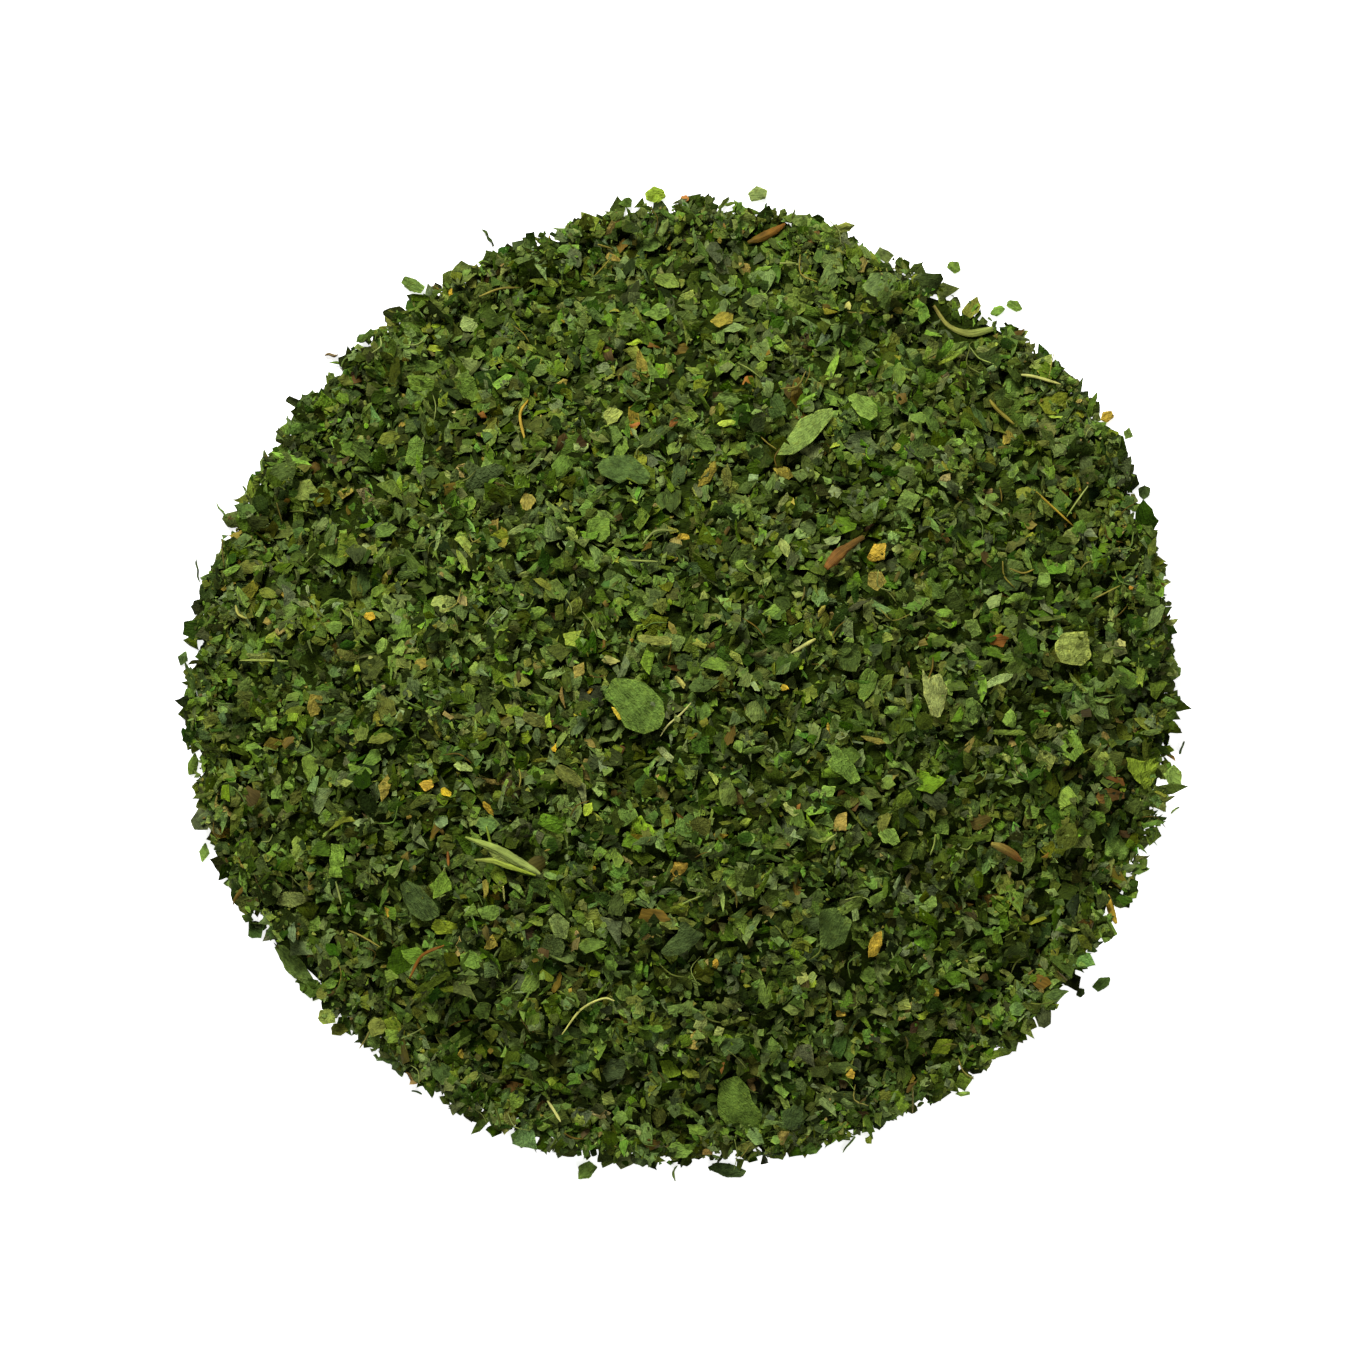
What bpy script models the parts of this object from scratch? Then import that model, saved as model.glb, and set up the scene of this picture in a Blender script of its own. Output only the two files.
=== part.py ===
"""A round, low heap of dried, cut spinach leaf, as it is poured out on a table.

The heap is one closed solid: a smaller dome inside, and flakes of leaf that lie on it all over,
tilted every way, overlapping, with their roots sunk into it. They are larger than life.
On the heap lie the pieces that stand out by their size or colour: larger leaf pieces, bits that
dried gold, splinters of stalk and stems. Stray flakes lie on the table round its edge. Each of
those is a solid of its own, and the heap has a pocket for each, a little larger than the piece.

Sizes are in millimetres and angles in degrees, and the model is in metres with +Z up.
The origin is on the table, under the middle of all that lies there.
"""

import math
import random

import bmesh
import bpy
from mathutils import Matrix, Vector

MM = 0.001
FULL_TURN = 2 * math.pi

# The heap. Its outline has a mean radius and eight waves round it, each written as
# (waves in one turn, height of the wave, direction of its first crest).
HEAP_MIDDLE = Vector((0.3, -0.2))
HEAP_RADIUS = 54.3
OUTLINE_WAVES = (
    (1, 0.3, -86),
    (2, 0.9, 22),
    (3, 0.4, -141),
    (4, 0.4, 27),
    (5, 0.2, 170),
    (6, 0.25, 166),
    (7, 0.3, -107),
    (8, 0.2, -70),
)

# The dome inside the heap, which the flakes are rooted in. Its height falls off from the middle
# with this power of the distance.
DOME_HEIGHT = 20.2
DOME_INSET = 3.4
DOME_ROUNDNESS = 2.2
DOME_SEGMENTS = 36
DOME_RINGS = 14

# The flakes of the heap.
FLAKE_SEED = 11
FLAKE_COUNT = 262
FLAKE_SPREAD = 0.45
FLAKE_LENGTH = (6.2, 9.0)
FLAKE_WIDTH = (4.4, 6.2)
FLAKE_CORNERS = (4, 5)
FLAKE_FOLD = (-0.25, 0.4)
FLAKE_TILT = (5, 32)
FLAKE_ROOT = (0.35, 0.7)
RIM_ROOT = 2.4
FLAKE_RIM_GAP = 3.0
FLAKE_SHIFT = 1.0
FLAKE_TABLE_GAP = (0.05, 0.5)
RIM_WIDTH = 5.0
RIM_TILT_SHARE = 0.25

# What every blade has: its thickness, and the two waves of its outline, two and three crests
# round it, as shares of its size.
BLADE_THICKNESS = 0.7
TWO_CREST_WAVE = (0.03, 0.12)
THREE_CREST_WAVE = (0.03, 0.10)
TABLE_GAP = 0.03

# How the pieces lie on the heap. Above ground this high they lie on the flakes, and nearer the
# table ever lower. A pocket keeps this much round a piece and goes up out of the heap.
PIECE_RISE = 1.5
PIECE_RISE_GROUND = 2.0
PIECE_TILT = 7
VIEW_HEIGHT = 759
LEAF_FOLD = (0.06, 0.2)
STRAY_FOLD = (0.05, 0.25)
POCKET_GAP = 0.4
POCKET_HEIGHT = 12.0
ROOM_FLOOR = -1.0

# The stems and splinters: how thin their ends are, and how far they bow, as shares.
STEM_END_SHARE = 0.75
SHORT_ARM_SHARE = 0.9

GOLDEN_ANGLE = math.pi * (3 - math.sqrt(5))

# Colours are in sRGB, 0 to 255, with the roughness after them.
MATERIALS = {
    "heap_green": ((72, 87, 36), 0.85),
    "leaf_green": ((108, 130, 60), 0.8),
    "leaf_dark": ((70, 88, 42), 0.85),
    "leaf_olive": ((116, 122, 44), 0.8),
    "leaf_gold": ((172, 142, 56), 0.75),
    "stalk_brown": ((113, 86, 42), 0.7),
    "stem_pale": ((178, 190, 100), 0.65),
}

# Larger leaf pieces on the heap: (name, x, y, length, width, turn, corners, material).
LEAF_PIECES = (
    ("leaf_centre", -5.2, -2.6, 6.9, 5.8, -45, 7, "leaf_green"),
    ("leaf_long", 13.1, 27.2, 6.8, 2.5, 36, 6, "leaf_green"),
    ("leaf_round", 19.8, 30.7, 3.8, 3.0, -30, 7, "leaf_green"),
    ("leaf_back_dark", -6.2, 22.7, 6.4, 3.4, -18, 6, "leaf_dark"),
    ("leaf_right_bright", 50.7, -9.6, 4.4, 3.9, 70, 7, "leaf_green"),
    ("leaf_left_square", -38.7, -19.7, 4.3, 2.6, 86, 4, "leaf_green"),
    ("leaf_left_dark", -29.2, -23.8, 6.2, 3.1, -47, 6, "leaf_dark"),
    ("leaf_rim_long", -43.2, -31.4, 7.2, 2.0, -51, 6, "leaf_green"),
    ("leaf_bud", -43.6, -23.9, 5.0, 2.1, 5, 6, "leaf_olive"),
    ("leaf_square", 24.9, 20.4, 2.9, 2.7, 10, 4, "leaf_green"),
    ("leaf_right_green", 17.6, -8.9, 5.6, 2.9, -57, 6, "leaf_green"),
    ("leaf_top", -1.9, 44.6, 3.4, 2.2, -35, 5, "leaf_green"),
    ("leaf_top_olive", 4.3, 40.3, 2.9, 2.1, 20, 5, "leaf_olive"),
    ("leaf_front_dark", -0.4, -28.8, 5.6, 2.8, 36, 6, "leaf_dark"),
    ("leaf_front_pale", -13.8, -26.9, 3.6, 2.4, -70, 5, "leaf_green"),
    ("leaf_front_large", 6.1, -46.9, 6.4, 3.8, -40, 7, "leaf_green"),
    ("leaf_front_square", 16.7, -27.2, 4.3, 3.9, 70, 5, "leaf_green"),
    ("leaf_corner_square", 28.6, -40.2, 3.0, 2.7, 30, 4, "leaf_green"),
    ("leaf_brown_green", -12.8, -10.3, 3.7, 1.8, -35, 6, "leaf_olive"),
    ("leaf_right_small", 47.9, -18.3, 4.6, 2.8, -12, 5, "leaf_green"),
    ("leaf_right_pale", 43.1, 3.9, 4.9, 4.1, 5, 6, "leaf_green"),
    ("leaf_right_olive", 27.9, -1.3, 5.4, 2.5, -80, 6, "leaf_olive"),
)

# Bits of leaf that dried gold, orange or brown, written as the leaf pieces are.
GOLD_BITS = (
    ("gold_bit_right", 21.3, 11.4, 2.6, 2.2, 45, 5, "leaf_gold"),
    ("gold_bit_front", 21.2, -29.0, 3.9, 1.6, 78, 6, "leaf_gold"),
    ("gold_bit_centre", -3.2, 4.8, 4.1, 1.1, -5, 6, "leaf_gold"),
    ("gold_bit_left", -11.6, 1.4, 2.0, 1.5, 60, 4, "leaf_gold"),
    ("gold_bit_seed", -32.6, -31.3, 2.4, 1.1, 15, 6, "leaf_gold"),
    ("brown_bit_top", -6.9, 48.6, 2.3, 1.5, 75, 4, "stalk_brown"),
)

# Splinters and stems on the heap: (name, x, y of one end, x, y of the other, thickness,
# how far the middle bends to the left of the line as a share of its length, material).
SPLINTERS = (
    ("splinter_red_brown", 15.6, 12.5, 20.2, 16.3, 1.0, 0.06, "stalk_brown"),
    ("splinter_brown", 33.6, -17.6, 37.9, -20.1, 0.7, 0.06, "stalk_brown"),
    ("splinter_top", 6.9, 48.8, 11.4, 51.1, 0.9, -0.06, "stalk_brown"),
    ("splinter_rim", 47.1, -23.4, 48.1, -26.8, 0.8, -0.06, "stem_pale"),
    ("stem_tan", 27.6, 42.1, 34.6, 39.4, 0.8, -0.22, "stem_pale"),
    ("stem_green", 27.6, 35.0, 31.9, 37.7, 0.7, -0.04, "leaf_green"),
)

# The pale stem that forks, with the points of its two arms along it and beside it.
FORK_PLACE = (-20.1, -19.2, -26)
FORK_LONG_ARM = ((-4.5, 0.1), (-2.0, 0.25), (1.5, -0.05), (4.5, 0.0))
FORK_SHORT_ARM = ((-2.6, -1.7), (-0.8, -1.2), (1.7, -0.1))
FORK_THICKNESS = 1.0

# Stray flakes on the table at the heap's edge: (x, y, length, width, turn, corners, material).
STRAY_FLAKES = (
    (-21.8, 49.6, 2.4, 0.9, -58, 5, "leaf_dark"),
    (-30.1, 44.2, 2.9, 1.6, -28, 6, "leaf_green"),
    (-39.1, 36.4, 1.6, 1.0, 8, 5, "stalk_brown"),
    (-51.3, 18.9, 2.7, 1.0, -52, 5, "leaf_green"),
    (-54.0, 12.5, 2.9, 0.8, -82, 5, "leaf_dark"),
    (-55.6, 2.7, 1.8, 1.3, 70, 4, "leaf_dark"),
    (-54.5, -9.1, 2.6, 1.4, 72, 5, "leaf_green"),
    (-53.3, -18.8, 2.2, 1.2, 80, 4, "leaf_green"),
    (-48.5, -26.1, 1.6, 1.1, -20, 4, "leaf_dark"),
    (-29.7, -45.4, 1.3, 0.9, -15, 4, "leaf_dark"),
    (-10.8, -54.1, 2.6, 2.0, 60, 5, "leaf_green"),
    (-1.1, -54.5, 2.0, 0.8, 82, 5, "leaf_green"),
    (4.9, -54.1, 4.4, 1.7, -14, 6, "leaf_dark"),
    (18.4, -51.3, 2.3, 0.9, 52, 5, "leaf_green"),
    (46.4, -33.4, 2.5, 1.5, 28, 5, "leaf_dark"),
    (54.5, -14.1, 1.4, 0.9, 40, 4, "leaf_green"),
    (55.3, -7.2, 1.6, 1.0, 70, 5, "leaf_dark"),
    (51.1, 21.2, 1.7, 1.4, 60, 6, "leaf_dark"),
    (47.0, 29.6, 1.8, 1.3, 40, 5, "leaf_gold"),
    (36.7, 41.9, 2.2, 1.2, -35, 5, "leaf_green"),
    (30.0, 46.2, 1.9, 1.3, -40, 5, "leaf_green"),
    (-3.2, 54.2, 2.6, 1.8, 10, 6, "leaf_green"),
    (8.2, 54.3, 2.6, 1.7, 8, 5, "leaf_green"),
    (54.4, -10.4, 2.8, 2.1, 75, 5, "leaf_green"),
)
STRAY_SEED = 5
PIECE_SEED = 3


def clear_scene():
    """Take out the objects that a new file starts with."""
    for thing in list(bpy.data.objects):
        bpy.data.objects.remove(thing)


def linear_colour(srgb):
    """An sRGB colour of 0 to 255 as the linear colour, with alpha, that a shader takes."""
    parts = [value / 255 for value in srgb]
    return [part / 12.92 if part <= 0.04045 else ((part + 0.055) / 1.055) ** 2.4 for part in parts] + [1.0]


def make_materials():
    """One Principled material for each finish."""
    made = {}
    for name, (srgb, roughness) in MATERIALS.items():
        material = bpy.data.materials.new(name)
        material.use_nodes = True
        shader = material.node_tree.nodes["Principled BSDF"]
        shader.inputs["Base Color"].default_value = linear_colour(srgb)
        shader.inputs["Roughness"].default_value = roughness
        shader.inputs["Metallic"].default_value = 0.0
        made[name] = material
    return made


def heap_radius(angle):
    """From the heap's middle to its edge: the mean radius and the waves added up."""
    waves = sum(size * math.cos(count * angle - math.radians(crest)) for count, size, crest in OUTLINE_WAVES)
    return HEAP_RADIUS + waves


def dome_height(x, y):
    """Height of the dome: its full height, less a power of the distance's share of its radius."""
    across = Vector((x, y)) - HEAP_MIDDLE
    share = across.length / (heap_radius(math.atan2(across.y, across.x)) - DOME_INSET)
    return max(DOME_HEIGHT * (1 - share ** DOME_ROUNDNESS), 0.0)


def dome_normal(x, y):
    """Direction straight out of the dome's surface, from its slope over half a millimetre."""
    step = 0.25
    slope_x = (dome_height(x + step, y) - dome_height(x - step, y)) / (2 * step)
    slope_y = (dome_height(x, y + step) - dome_height(x, y - step)) / (2 * step)
    return Vector((-slope_x, -slope_y, 1)).normalized()


def facing(normal, turn):
    """A rotation that lays a flat piece across the normal, turned about it by an angle."""
    return normal.to_track_quat("Z", "Y").to_matrix().to_4x4() @ Matrix.Rotation(turn, 4, "Z")


def tilted(normal, tilt, towards):
    """The normal leaned over by an angle, towards a direction round it."""
    side = normal.orthogonal()
    side.rotate(Matrix.Rotation(towards, 3, normal))
    leaned = normal.copy()
    leaned.rotate(Matrix.Rotation(tilt, 3, side))
    return leaned


def new_object(name, mesh, collection, material=None):
    """An object in a collection, with its material."""
    thing = bpy.data.objects.new(name, mesh)
    collection.objects.link(thing)
    if material:
        mesh.materials.append(material)
    return thing


def blade_mesh(length, width, corners, low, high, waves, grow=0.0, fold=0.0):
    """A closed leaf blade round the origin, as a disc with few corners.

    Each corner's distance is one plus two waves round the disc, times half the length or width.
    grow moves the outline outwards. Both faces are split from their middle, and each point is
    lifted by fold times its distance from the crease, which runs along the blade.
    """
    (first_size, first_start), (second_size, second_start) = waves
    shape = bmesh.new()
    bmesh.ops.create_cone(
        shape, cap_ends=True, segments=corners, radius1=1.0, radius2=1.0, depth=high - low
    )
    for corner in shape.verts:
        angle = math.atan2(corner.co.y, corner.co.x)
        reach = 1 + first_size * math.cos(2 * angle + first_start)
        reach += second_size * math.cos(3 * angle + second_start)
        corner.co.x = math.cos(angle) * (reach * length / 2 + grow)
        corner.co.y = math.sin(angle) * (reach * width / 2 + grow)
        corner.co.z += (low + high) / 2
    if fold:
        caps = [face for face in shape.faces if abs(face.normal.z) > 0.5]
        bmesh.ops.poke(shape, faces=caps)
        for corner in shape.verts:
            corner.co.z += fold * abs(corner.co.y)
    bmesh.ops.triangulate(shape, faces=shape.faces)
    bmesh.ops.scale(shape, vec=(MM, MM, MM), verts=shape.verts)
    mesh = bpy.data.meshes.new("blade")
    shape.to_mesh(mesh)
    shape.free()
    return mesh


def outline_waves(draw):
    """The two waves of a blade's outline, each with a drawn size and start."""
    return (
        (draw.uniform(*TWO_CREST_WAVE), draw.uniform(0, FULL_TURN)),
        (draw.uniform(*THREE_CREST_WAVE), draw.uniform(0, FULL_TURN)),
    )


def lifted_clear(mesh, place, gap=TABLE_GAP):
    """The place moved up until the mesh's lowest point is a gap above the table."""
    lowest = min((place @ corner.co).z for corner in mesh.vertices)
    lift = max(gap * MM - lowest, 0.0)
    return Matrix.Translation((0, 0, lift)) @ place


def rooted(mesh, place, depth):
    """The place moved up or down until the mesh's deepest point is this deep in the dome."""
    points = [place @ corner.co / MM for corner in mesh.vertices]
    deepest = min(point.z - dome_height(point.x, point.y) for point in points)
    return Matrix.Translation((0, 0, (-depth - deepest) * MM)) @ place


def dome_mesh():
    """The dome inside the heap: the upper half of a ball, moved to the dome's form.

    A point at a share of the ball's radius goes to that share of the dome's radius. The lower
    half is cut away, and the dome is closed by one flat face on the table.
    """
    shape = bmesh.new()
    bmesh.ops.create_uvsphere(shape, u_segments=DOME_SEGMENTS, v_segments=DOME_RINGS, radius=1.0)
    below = [corner for corner in shape.verts if corner.co.z < -0.01]
    bmesh.ops.delete(shape, geom=below, context="VERTS")
    for corner in shape.verts:
        angle = math.atan2(corner.co.y, corner.co.x)
        share = min(math.hypot(corner.co.x, corner.co.y), 1.0)
        reach = (heap_radius(angle) - DOME_INSET) * share
        corner.co.z = DOME_HEIGHT * (1 - share ** DOME_ROUNDNESS)
        corner.co.x = HEAP_MIDDLE.x + math.cos(angle) * reach
        corner.co.y = HEAP_MIDDLE.y + math.sin(angle) * reach
    open_edges = [edge for edge in shape.edges if edge.is_boundary]
    bmesh.ops.contextual_create(shape, geom=open_edges)
    bmesh.ops.recalc_face_normals(shape, faces=shape.faces)
    bmesh.ops.scale(shape, vec=(MM, MM, MM), verts=shape.verts)
    mesh = bpy.data.meshes.new("flake_heap")
    shape.to_mesh(mesh)
    shape.free()
    return mesh


def scatter_flakes(collection):
    """Flakes over the whole heap, evenly spread.

    Each is a golden angle further round than the last, at a distance that grows with a power
    of its number, and is then shifted a little. It lies across the dome's surface, leaned over
    by a drawn tilt, with its low edge rooted in the dome. Near the rim it lies ever flatter and
    is rooted deeper, until it lies on the table. No part of it goes below the table.
    """
    draw = random.Random(FLAKE_SEED)
    for number in range(FLAKE_COUNT):
        angle = number * GOLDEN_ANGLE
        furthest = heap_radius(angle) - FLAKE_RIM_GAP
        reach = furthest * ((number + 0.5) / FLAKE_COUNT) ** FLAKE_SPREAD
        x = HEAP_MIDDLE.x + math.cos(angle) * reach + draw.uniform(-FLAKE_SHIFT, FLAKE_SHIFT)
        y = HEAP_MIDDLE.y + math.sin(angle) * reach + draw.uniform(-FLAKE_SHIFT, FLAKE_SHIFT)
        mesh = blade_mesh(
            draw.uniform(*FLAKE_LENGTH),
            draw.uniform(*FLAKE_WIDTH),
            draw.choice(FLAKE_CORNERS),
            -BLADE_THICKNESS / 2,
            BLADE_THICKNESS / 2,
            outline_waves(draw),
            fold=draw.uniform(*FLAKE_FOLD),
        )
        inside = min((furthest - reach) / RIM_WIDTH, 1.0)
        out = Vector((0, 0, 1)).lerp(dome_normal(x, y), inside).normalized()
        tilt = math.radians(draw.uniform(*FLAKE_TILT)) * max(inside, RIM_TILT_SHARE)
        normal = tilted(out, tilt, draw.uniform(0, FULL_TURN))
        middle = Vector((x, y, dome_height(x, y))) * MM
        place = Matrix.Translation(middle) @ facing(normal, draw.uniform(0, FULL_TURN))
        root = draw.uniform(*FLAKE_ROOT)
        place = rooted(mesh, place, RIM_ROOT + (root - RIM_ROOT) * inside)
        flake = new_object("flake", mesh, collection)
        flake.matrix_world = lifted_clear(mesh, place, draw.uniform(*FLAKE_TABLE_GAP))


def apply_boolean(thing, operation, collection):
    """Join or cut a mesh with all of a collection, keep the result, and drop the collection."""
    modifier = thing.modifiers.new(operation, "BOOLEAN")
    modifier.operation = operation
    modifier.operand_type = "COLLECTION"
    modifier.collection = collection
    modifier.solver = "MANIFOLD"
    evaluated = thing.evaluated_get(bpy.context.evaluated_depsgraph_get())
    result = bpy.data.meshes.new_from_object(evaluated)
    thing.modifiers.clear()
    thing.data = result
    for used in list(collection.objects):
        bpy.data.objects.remove(used)
    bpy.data.collections.remove(collection)


def drop_scraps(thing):
    """Keep only the largest of the bodies that a mesh holds, and delete the loose scraps."""
    shape = bmesh.new()
    shape.from_mesh(thing.data)
    waiting = set(shape.verts)
    bodies = []
    while waiting:
        body = set()
        edge = {waiting.pop()}
        while edge:
            corner = edge.pop()
            body.add(corner)
            near = {link.other_vert(corner) for link in corner.link_edges}
            edge |= near & waiting
            waiting -= near
        bodies.append(body)
    largest = max(bodies, key=len)
    scraps = [corner for corner in shape.verts if corner not in largest]
    bmesh.ops.delete(shape, geom=scraps, context="VERTS")
    shape.to_mesh(thing.data)
    shape.free()


def across(normal, turn):
    """A rotation that lays a piece across the normal, its length along the turn from above."""
    along = Vector((math.cos(turn), math.sin(turn), 0))
    along.z = -(along.x * normal.x + along.y * normal.y) / normal.z
    along.normalize()
    return Matrix((along, normal.cross(along), normal)).transposed().to_4x4()


def surface_place(x, y, turn, lean=0.0, towards=0.0):
    """Where a piece lies on the heap: above the dome, across its surface, turned about it.

    x and y are where it shows on the table from the photo's viewpoint. What is high looks
    further out from there, so the piece stands nearer to the middle by its height's share.
    The turn is in degrees. The piece leans by an angle, towards a direction round the normal.
    """
    nearer = 1 - dome_height(x, y) / VIEW_HEIGHT
    x, y = x * nearer, y * nearer
    out = dome_normal(x, y)
    ground = dome_height(x, y)
    middle = Vector((x, y, ground + PIECE_RISE * min(ground / PIECE_RISE_GROUND, 1.0)))
    turned = across(tilted(out, lean, towards), math.radians(turn))
    return Matrix.Translation(middle * MM) @ turned


def add_leaf(row, draw, parts, cutters, materials):
    """A leaf piece that lies on the heap, and the cutter of its pocket."""
    name, x, y, length, width, turn, corners, finish = row
    waves = outline_waves(draw)
    fold = draw.uniform(*LEAF_FOLD)
    half = BLADE_THICKNESS / 2
    lean = math.radians(draw.uniform(0, PIECE_TILT))
    place = surface_place(x, y, turn, lean, draw.uniform(0, FULL_TURN))
    mesh = blade_mesh(length, width, corners, -half, half, waves, fold=fold)
    place = lifted_clear(mesh, place)
    leaf = new_object(name, mesh, parts, materials[finish])
    leaf.matrix_world = place
    pocket = blade_mesh(
        length, width, corners, -half - POCKET_GAP, POCKET_HEIGHT, waves, grow=POCKET_GAP
    )
    cutter = new_object(name + "_pocket", pocket, cutters)
    cutter.matrix_world = place


def add_stray(number, row, draw, parts, cutters, materials):
    """A stray flake that lies on the table, and the cutter that keeps the heap's edge off it."""
    x, y, length, width, turn, corners, finish = row
    waves = outline_waves(draw)
    fold = draw.uniform(*STRAY_FOLD)
    place = Matrix.Translation((x * MM, y * MM, 0)) @ Matrix.Rotation(math.radians(turn), 4, "Z")
    mesh = blade_mesh(length, width, corners, 0, BLADE_THICKNESS, waves, fold=fold)
    name = f"stray_flake_{number:02d}"
    flake = new_object(name, mesh, parts, materials[finish])
    flake.matrix_world = lifted_clear(mesh, place)
    room = blade_mesh(length, width, corners, ROOM_FLOOR, POCKET_HEIGHT, waves, grow=POCKET_GAP)
    cutter = new_object(name + "_room", room, cutters)
    cutter.matrix_world = place


def tube(name, points, thickness, collection):
    """A thin stem along some points in its own plane, a little thinner at its ends, with caps."""
    curve = bpy.data.curves.new(name, "CURVE")
    curve.dimensions = "3D"
    curve.bevel_depth = thickness / 2 * MM
    curve.bevel_resolution = 1
    curve.use_fill_caps = True
    spline = curve.splines.new("POLY")
    spline.points.add(len(points) - 1)
    last = len(points) - 1
    for number, (point, (x, y)) in enumerate(zip(spline.points, points)):
        point.co = (x * MM, y * MM, 0, 1)
        point.radius = STEM_END_SHARE if number in (0, last) else 1.0
    stem = bpy.data.objects.new(name, curve)
    collection.objects.link(stem)
    return stem


def made_mesh(stem):
    """A curve object turned into a mesh object of the same name, with its caps welded on."""
    name = stem.name
    place = stem.matrix_world.copy()
    collection = stem.users_collection[0]
    mesh = bpy.data.meshes.new_from_object(stem.evaluated_get(bpy.context.evaluated_depsgraph_get()))
    bpy.data.objects.remove(stem)
    shape = bmesh.new()
    shape.from_mesh(mesh)
    bmesh.ops.remove_doubles(shape, verts=shape.verts, dist=0.001 * MM)
    bmesh.ops.recalc_face_normals(shape, faces=shape.faces)
    shape.to_mesh(mesh)
    shape.free()
    solid = new_object(name, mesh, collection)
    solid.matrix_world = place
    return solid


def box_cutter(name, low, high, place, collection):
    """The cutter of a stem's pocket: a box between two corners in the stem's own plane."""
    shape = bmesh.new()
    bmesh.ops.create_cube(shape, size=1.0)
    size = Vector(high) - Vector(low)
    middle = (Vector(high) + Vector(low)) / 2
    bmesh.ops.scale(shape, vec=size * MM, verts=shape.verts)
    bmesh.ops.translate(shape, vec=middle * MM, verts=shape.verts)
    mesh = bpy.data.meshes.new(name)
    shape.to_mesh(mesh)
    shape.free()
    cutter = new_object(name, mesh, collection)
    cutter.matrix_world = place


def add_splinter(row, parts, cutters, materials):
    """A splinter or stem between two points of the heap, slightly bent, and its pocket."""
    name, x1, y1, x2, y2, thickness, bend, finish = row
    length = math.hypot(x2 - x1, y2 - y1)
    bow = length * bend
    points = ((-length / 2, 0), (-length / 6, bow), (length / 6, bow), (length / 2, 0))
    turn = math.degrees(math.atan2(y2 - y1, x2 - x1))
    place = surface_place((x1 + x2) / 2, (y1 + y2) / 2, turn)
    lowest = min((place @ Vector((x * MM, y * MM, 0))).z for x, y in points)
    lift = max((thickness / 2 + TABLE_GAP) * MM - lowest, 0.0)
    place = Matrix.Translation((0, 0, lift)) @ place
    stem = tube(name, points, thickness, parts)
    stem.data.materials.append(materials[finish])
    stem.matrix_world = place
    side = thickness / 2 + POCKET_GAP
    low = (-length / 2 - POCKET_GAP, min(bow, 0) - side, -side)
    high = (length / 2 + POCKET_GAP, max(bow, 0) + side, POCKET_HEIGHT)
    box_cutter(name + "_pocket", low, high, place, cutters)


def add_forked_stem(parts, cutters, materials):
    """The pale stem that splits in two, joined in one solid, and its pocket."""
    place = surface_place(*FORK_PLACE)
    stem = tube("stem_pale_forked", FORK_LONG_ARM, FORK_THICKNESS, parts)
    arms = bpy.data.collections.new("arms")
    bpy.context.scene.collection.children.link(arms)
    arm = tube("arm", FORK_SHORT_ARM, FORK_THICKNESS * SHORT_ARM_SHARE, arms)
    bpy.context.view_layer.update()
    made_mesh(arm)
    stem = made_mesh(stem)
    apply_boolean(stem, "UNION", arms)
    stem.data.materials.clear()
    stem.data.materials.append(materials["stem_pale"])
    stem.matrix_world = place
    side = FORK_THICKNESS / 2 + POCKET_GAP
    ends = FORK_LONG_ARM + FORK_SHORT_ARM
    low = (min(x for x, y in ends) - side, min(y for x, y in ends) - side, -side)
    high = (max(x for x, y in ends) + side, max(y for x, y in ends) + side, POCKET_HEIGHT)
    box_cutter("stem_pale_forked_pocket", low, high, place, cutters)


def build():
    """The heap, what lies on it, and what lies round it."""
    clear_scene()
    materials = make_materials()
    root = bpy.context.scene.collection
    parts = bpy.data.collections.new("dried_spinach_heap")
    flakes = bpy.data.collections.new("flakes")
    cutters = bpy.data.collections.new("pockets")
    for collection in (parts, flakes, cutters):
        root.children.link(collection)

    heap = new_object("flake_heap", dome_mesh(), parts)
    scatter_flakes(flakes)
    apply_boolean(heap, "UNION", flakes)

    draw = random.Random(PIECE_SEED)
    for row in LEAF_PIECES + GOLD_BITS:
        add_leaf(row, draw, parts, cutters, materials)
    for row in SPLINTERS:
        add_splinter(row, parts, cutters, materials)
    add_forked_stem(parts, cutters, materials)
    draw = random.Random(STRAY_SEED)
    for number, row in enumerate(STRAY_FLAKES, start=1):
        add_stray(number, row, draw, parts, cutters, materials)

    apply_boolean(heap, "DIFFERENCE", cutters)
    drop_scraps(heap)
    heap.data.materials.clear()
    heap.data.materials.append(materials["heap_green"])
    bpy.context.view_layer.update()


build()
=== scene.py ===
# %% [markdown]
# # A heap of dried spinach flakes
# This lesson dresses one fixed model, a round heap of dried and cut spinach leaf, and lights it
# as it lies on a white table. The model gives every place and size. What is made here is the
# surface: thousands of thin, curled flakes, each one a small closed mesh with a colour of its own.

# %% Load the fixed model
import math

import bpy
import numpy as np
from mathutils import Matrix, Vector


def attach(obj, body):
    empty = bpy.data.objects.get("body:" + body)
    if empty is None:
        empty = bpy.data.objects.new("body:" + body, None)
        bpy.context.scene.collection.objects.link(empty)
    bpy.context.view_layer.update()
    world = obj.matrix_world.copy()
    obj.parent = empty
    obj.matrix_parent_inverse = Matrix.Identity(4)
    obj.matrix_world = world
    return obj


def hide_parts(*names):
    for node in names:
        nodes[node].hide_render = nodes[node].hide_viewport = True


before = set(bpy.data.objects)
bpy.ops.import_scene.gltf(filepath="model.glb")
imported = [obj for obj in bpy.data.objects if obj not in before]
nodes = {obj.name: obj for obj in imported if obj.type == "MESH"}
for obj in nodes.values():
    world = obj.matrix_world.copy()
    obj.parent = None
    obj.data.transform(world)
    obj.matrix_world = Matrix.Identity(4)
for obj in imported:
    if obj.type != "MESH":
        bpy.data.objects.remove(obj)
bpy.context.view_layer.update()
MM = 0.001
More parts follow.
